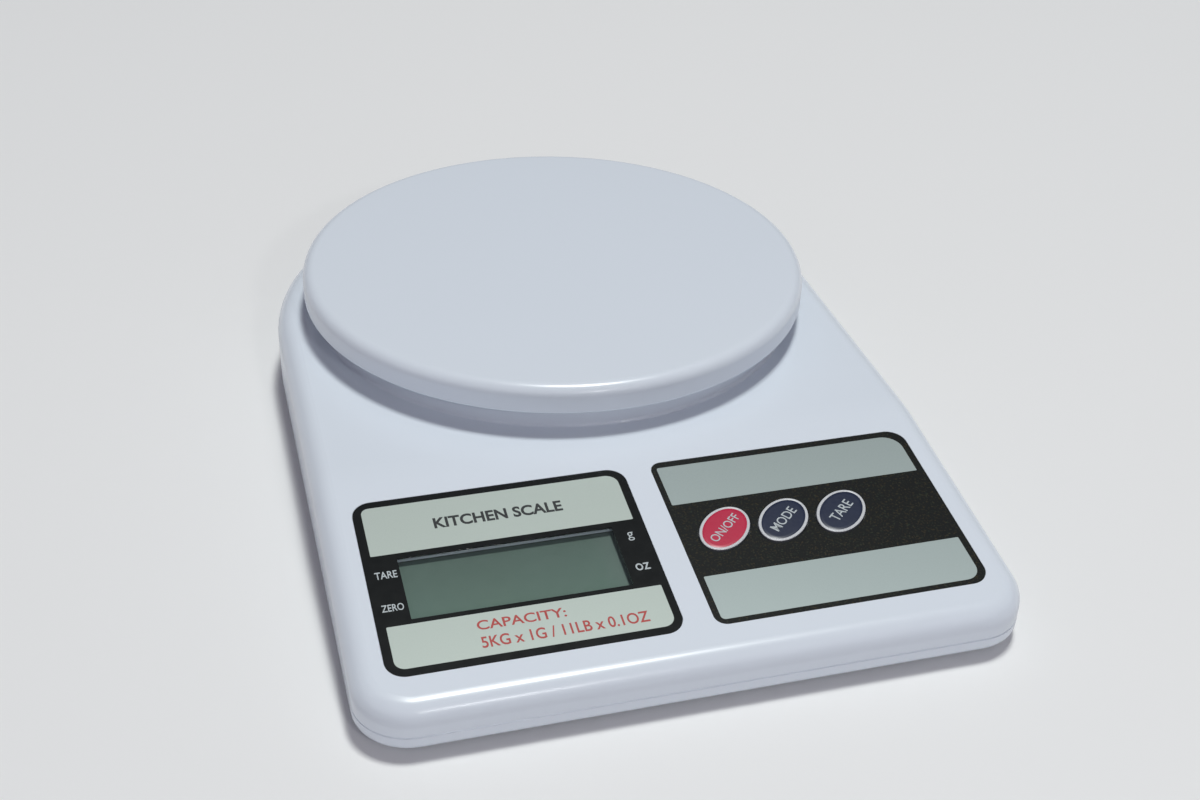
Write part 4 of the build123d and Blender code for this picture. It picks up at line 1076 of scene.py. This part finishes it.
board_green = lacquered_board("board_green", paint(24, 84, 50), paint(62, 128, 70))
epoxy = moulded(
    "black_epoxy", paint(24, 24, 26), drift=0.1, gloss=(0.12, 0.26), patch=4.0, grain=1.5,
    relief=0.04,
)
silicone = moulded(
    "white_silicone", paint(226, 226, 220), drift=0.05, gloss=(0.35, 0.5), patch=4.0, grain=2.5,
    relief=0.12,
)
connector = striped_rubber("striped_connector", paint(202, 128, 134), paint(46, 40, 42))
soft_pad = moulded(
    "pad_rubber", paint(110, 112, 116), drift=0.08, gloss=(0.6, 0.75), patch=3.0, grain=0.3,
    relief=0.02,
)
plug_nylon = moulded(
    "white_nylon", paint(232, 230, 220), drift=0.04, gloss=(0.35, 0.5), patch=2.0, grain=0.3,
    relief=0.008,
)
for node, finish in (
    ("circuit_board", board_green),
    ("chip_blob", epoxy),
    ("gauge_coating", silicone),
    ("zebra_strip", connector),
    ("support_pads", soft_pad),
    ("capacitor", frame_black),
    ("crystal", plated_steel),
    ("switch_bodies", frame_black),
    ("platform_support", case_white),
    ("battery_cover", case_white),
    ("on_off_plunger", frame_black),
    ("mode_plunger", frame_black),
    ("tare_plunger", frame_black),
    ("load_cell_plug", plug_nylon),
    ("battery_plug", plug_nylon),
):
    wear(node, finish)

# %% Coloured wires
for colour_name, tone in (
    ("red", paint(176, 34, 34)),
    ("black", paint(30, 30, 32)),
    ("green", paint(38, 120, 58)),
    ("white", paint(226, 226, 222)),
):
    jacket = moulded(
        f"wire_{colour_name}", tone, drift=0.06, gloss=(0.32, 0.45), patch=3.0, grain=0.4,
        relief=0.006,
    )
    for node in frame["nodes"]:
        if node.endswith(f"wire_{colour_name}"):
            wear(node, jacket)

# %% [markdown]
# ## Studio
#
# A plain pale floor and four lights. A compact lamp high overhead shapes the tops and draws the
# one clear shadow. A very wide, weak light in front fills the walls and the shadow, and a weaker
# one helps it from the left. A lamp no bigger than a matchbox, low in front, draws the streak
# along the rounded front edge. One large light could fill everything, but it would leave the
# white case without an edge.


# %% Floor
def studio_floor(radius, rings=24, columns=64):
    """A round floor: P(i, j) = r_i (cos t_j, sin t_j), flat and a hair below the feet."""
    hair = 0.05
    t = np.linspace(0, 2 * np.pi, columns, endpoint=False)
    r = np.linspace(0, radius, rings)[:, None]
    return np.stack([r * np.cos(t), r * np.sin(t), 0 * r * t - hair], -1)


pale_floor = moulded(
    "pale_floor", paint(238, 238, 238), drift=0.01, gloss=(0.7, 0.8), patch=400.0, grain=2.0,
    relief=0.01,
)
floor = surface("studio_floor", [studio_floor(6000.0)], [pale_floor])
floor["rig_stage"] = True


# %% Lights
def soft_light(name, place, width, height, watts, colour=(1.0, 1.0, 1.0)):
    """A rectangular soft light at a place in metres, facing the middle of the scale."""
    lamp = bpy.data.lights.new(name, "AREA")
    lamp.shape, lamp.size, lamp.size_y = "RECTANGLE", width, height
    lamp.energy, lamp.color = watts, colour
    holder = bpy.data.objects.new(name, lamp)
    holder.location = place
    aim = Vector((0.0, 0.0, 0.02)) - Vector(place)
    holder.rotation_euler = aim.to_track_quat("-Z", "Y").to_euler()
    bpy.context.scene.collection.objects.link(holder)
    return holder


soft_light("overhead", (0.39, 0.39, 3.0), 0.5, 0.5, 59.0, (0.965, 1.0, 0.97))
soft_light("front_fill", (-0.3, -2.7, 2.0), 5.0, 2.6, 19.0, (0.95, 0.92, 1.0))
soft_light("left_box", (-2.3, -0.6, 1.4), 1.6, 1.2, 2.5, (0.95, 0.92, 1.0))
soft_light("front_glint", (0.07, -0.73, 0.48), 0.06, 0.04, 0.65)
world = bpy.data.worlds.new("studio_air")
world.use_nodes = True
air = world.node_tree.nodes["Background"]
air.inputs["Color"].default_value = (0.86, 0.8, 1.0, 1.0)
air.inputs["Strength"].default_value = 0.12
bpy.context.scene.world = world
bpy.context.scene.view_settings.view_transform = "Standard"

# %% Compare sizes
low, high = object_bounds()
grown = np.array([cad_low - low, high - cad_high]) / MM
print("grown by, in mm:", np.round(grown, 2).tolist())
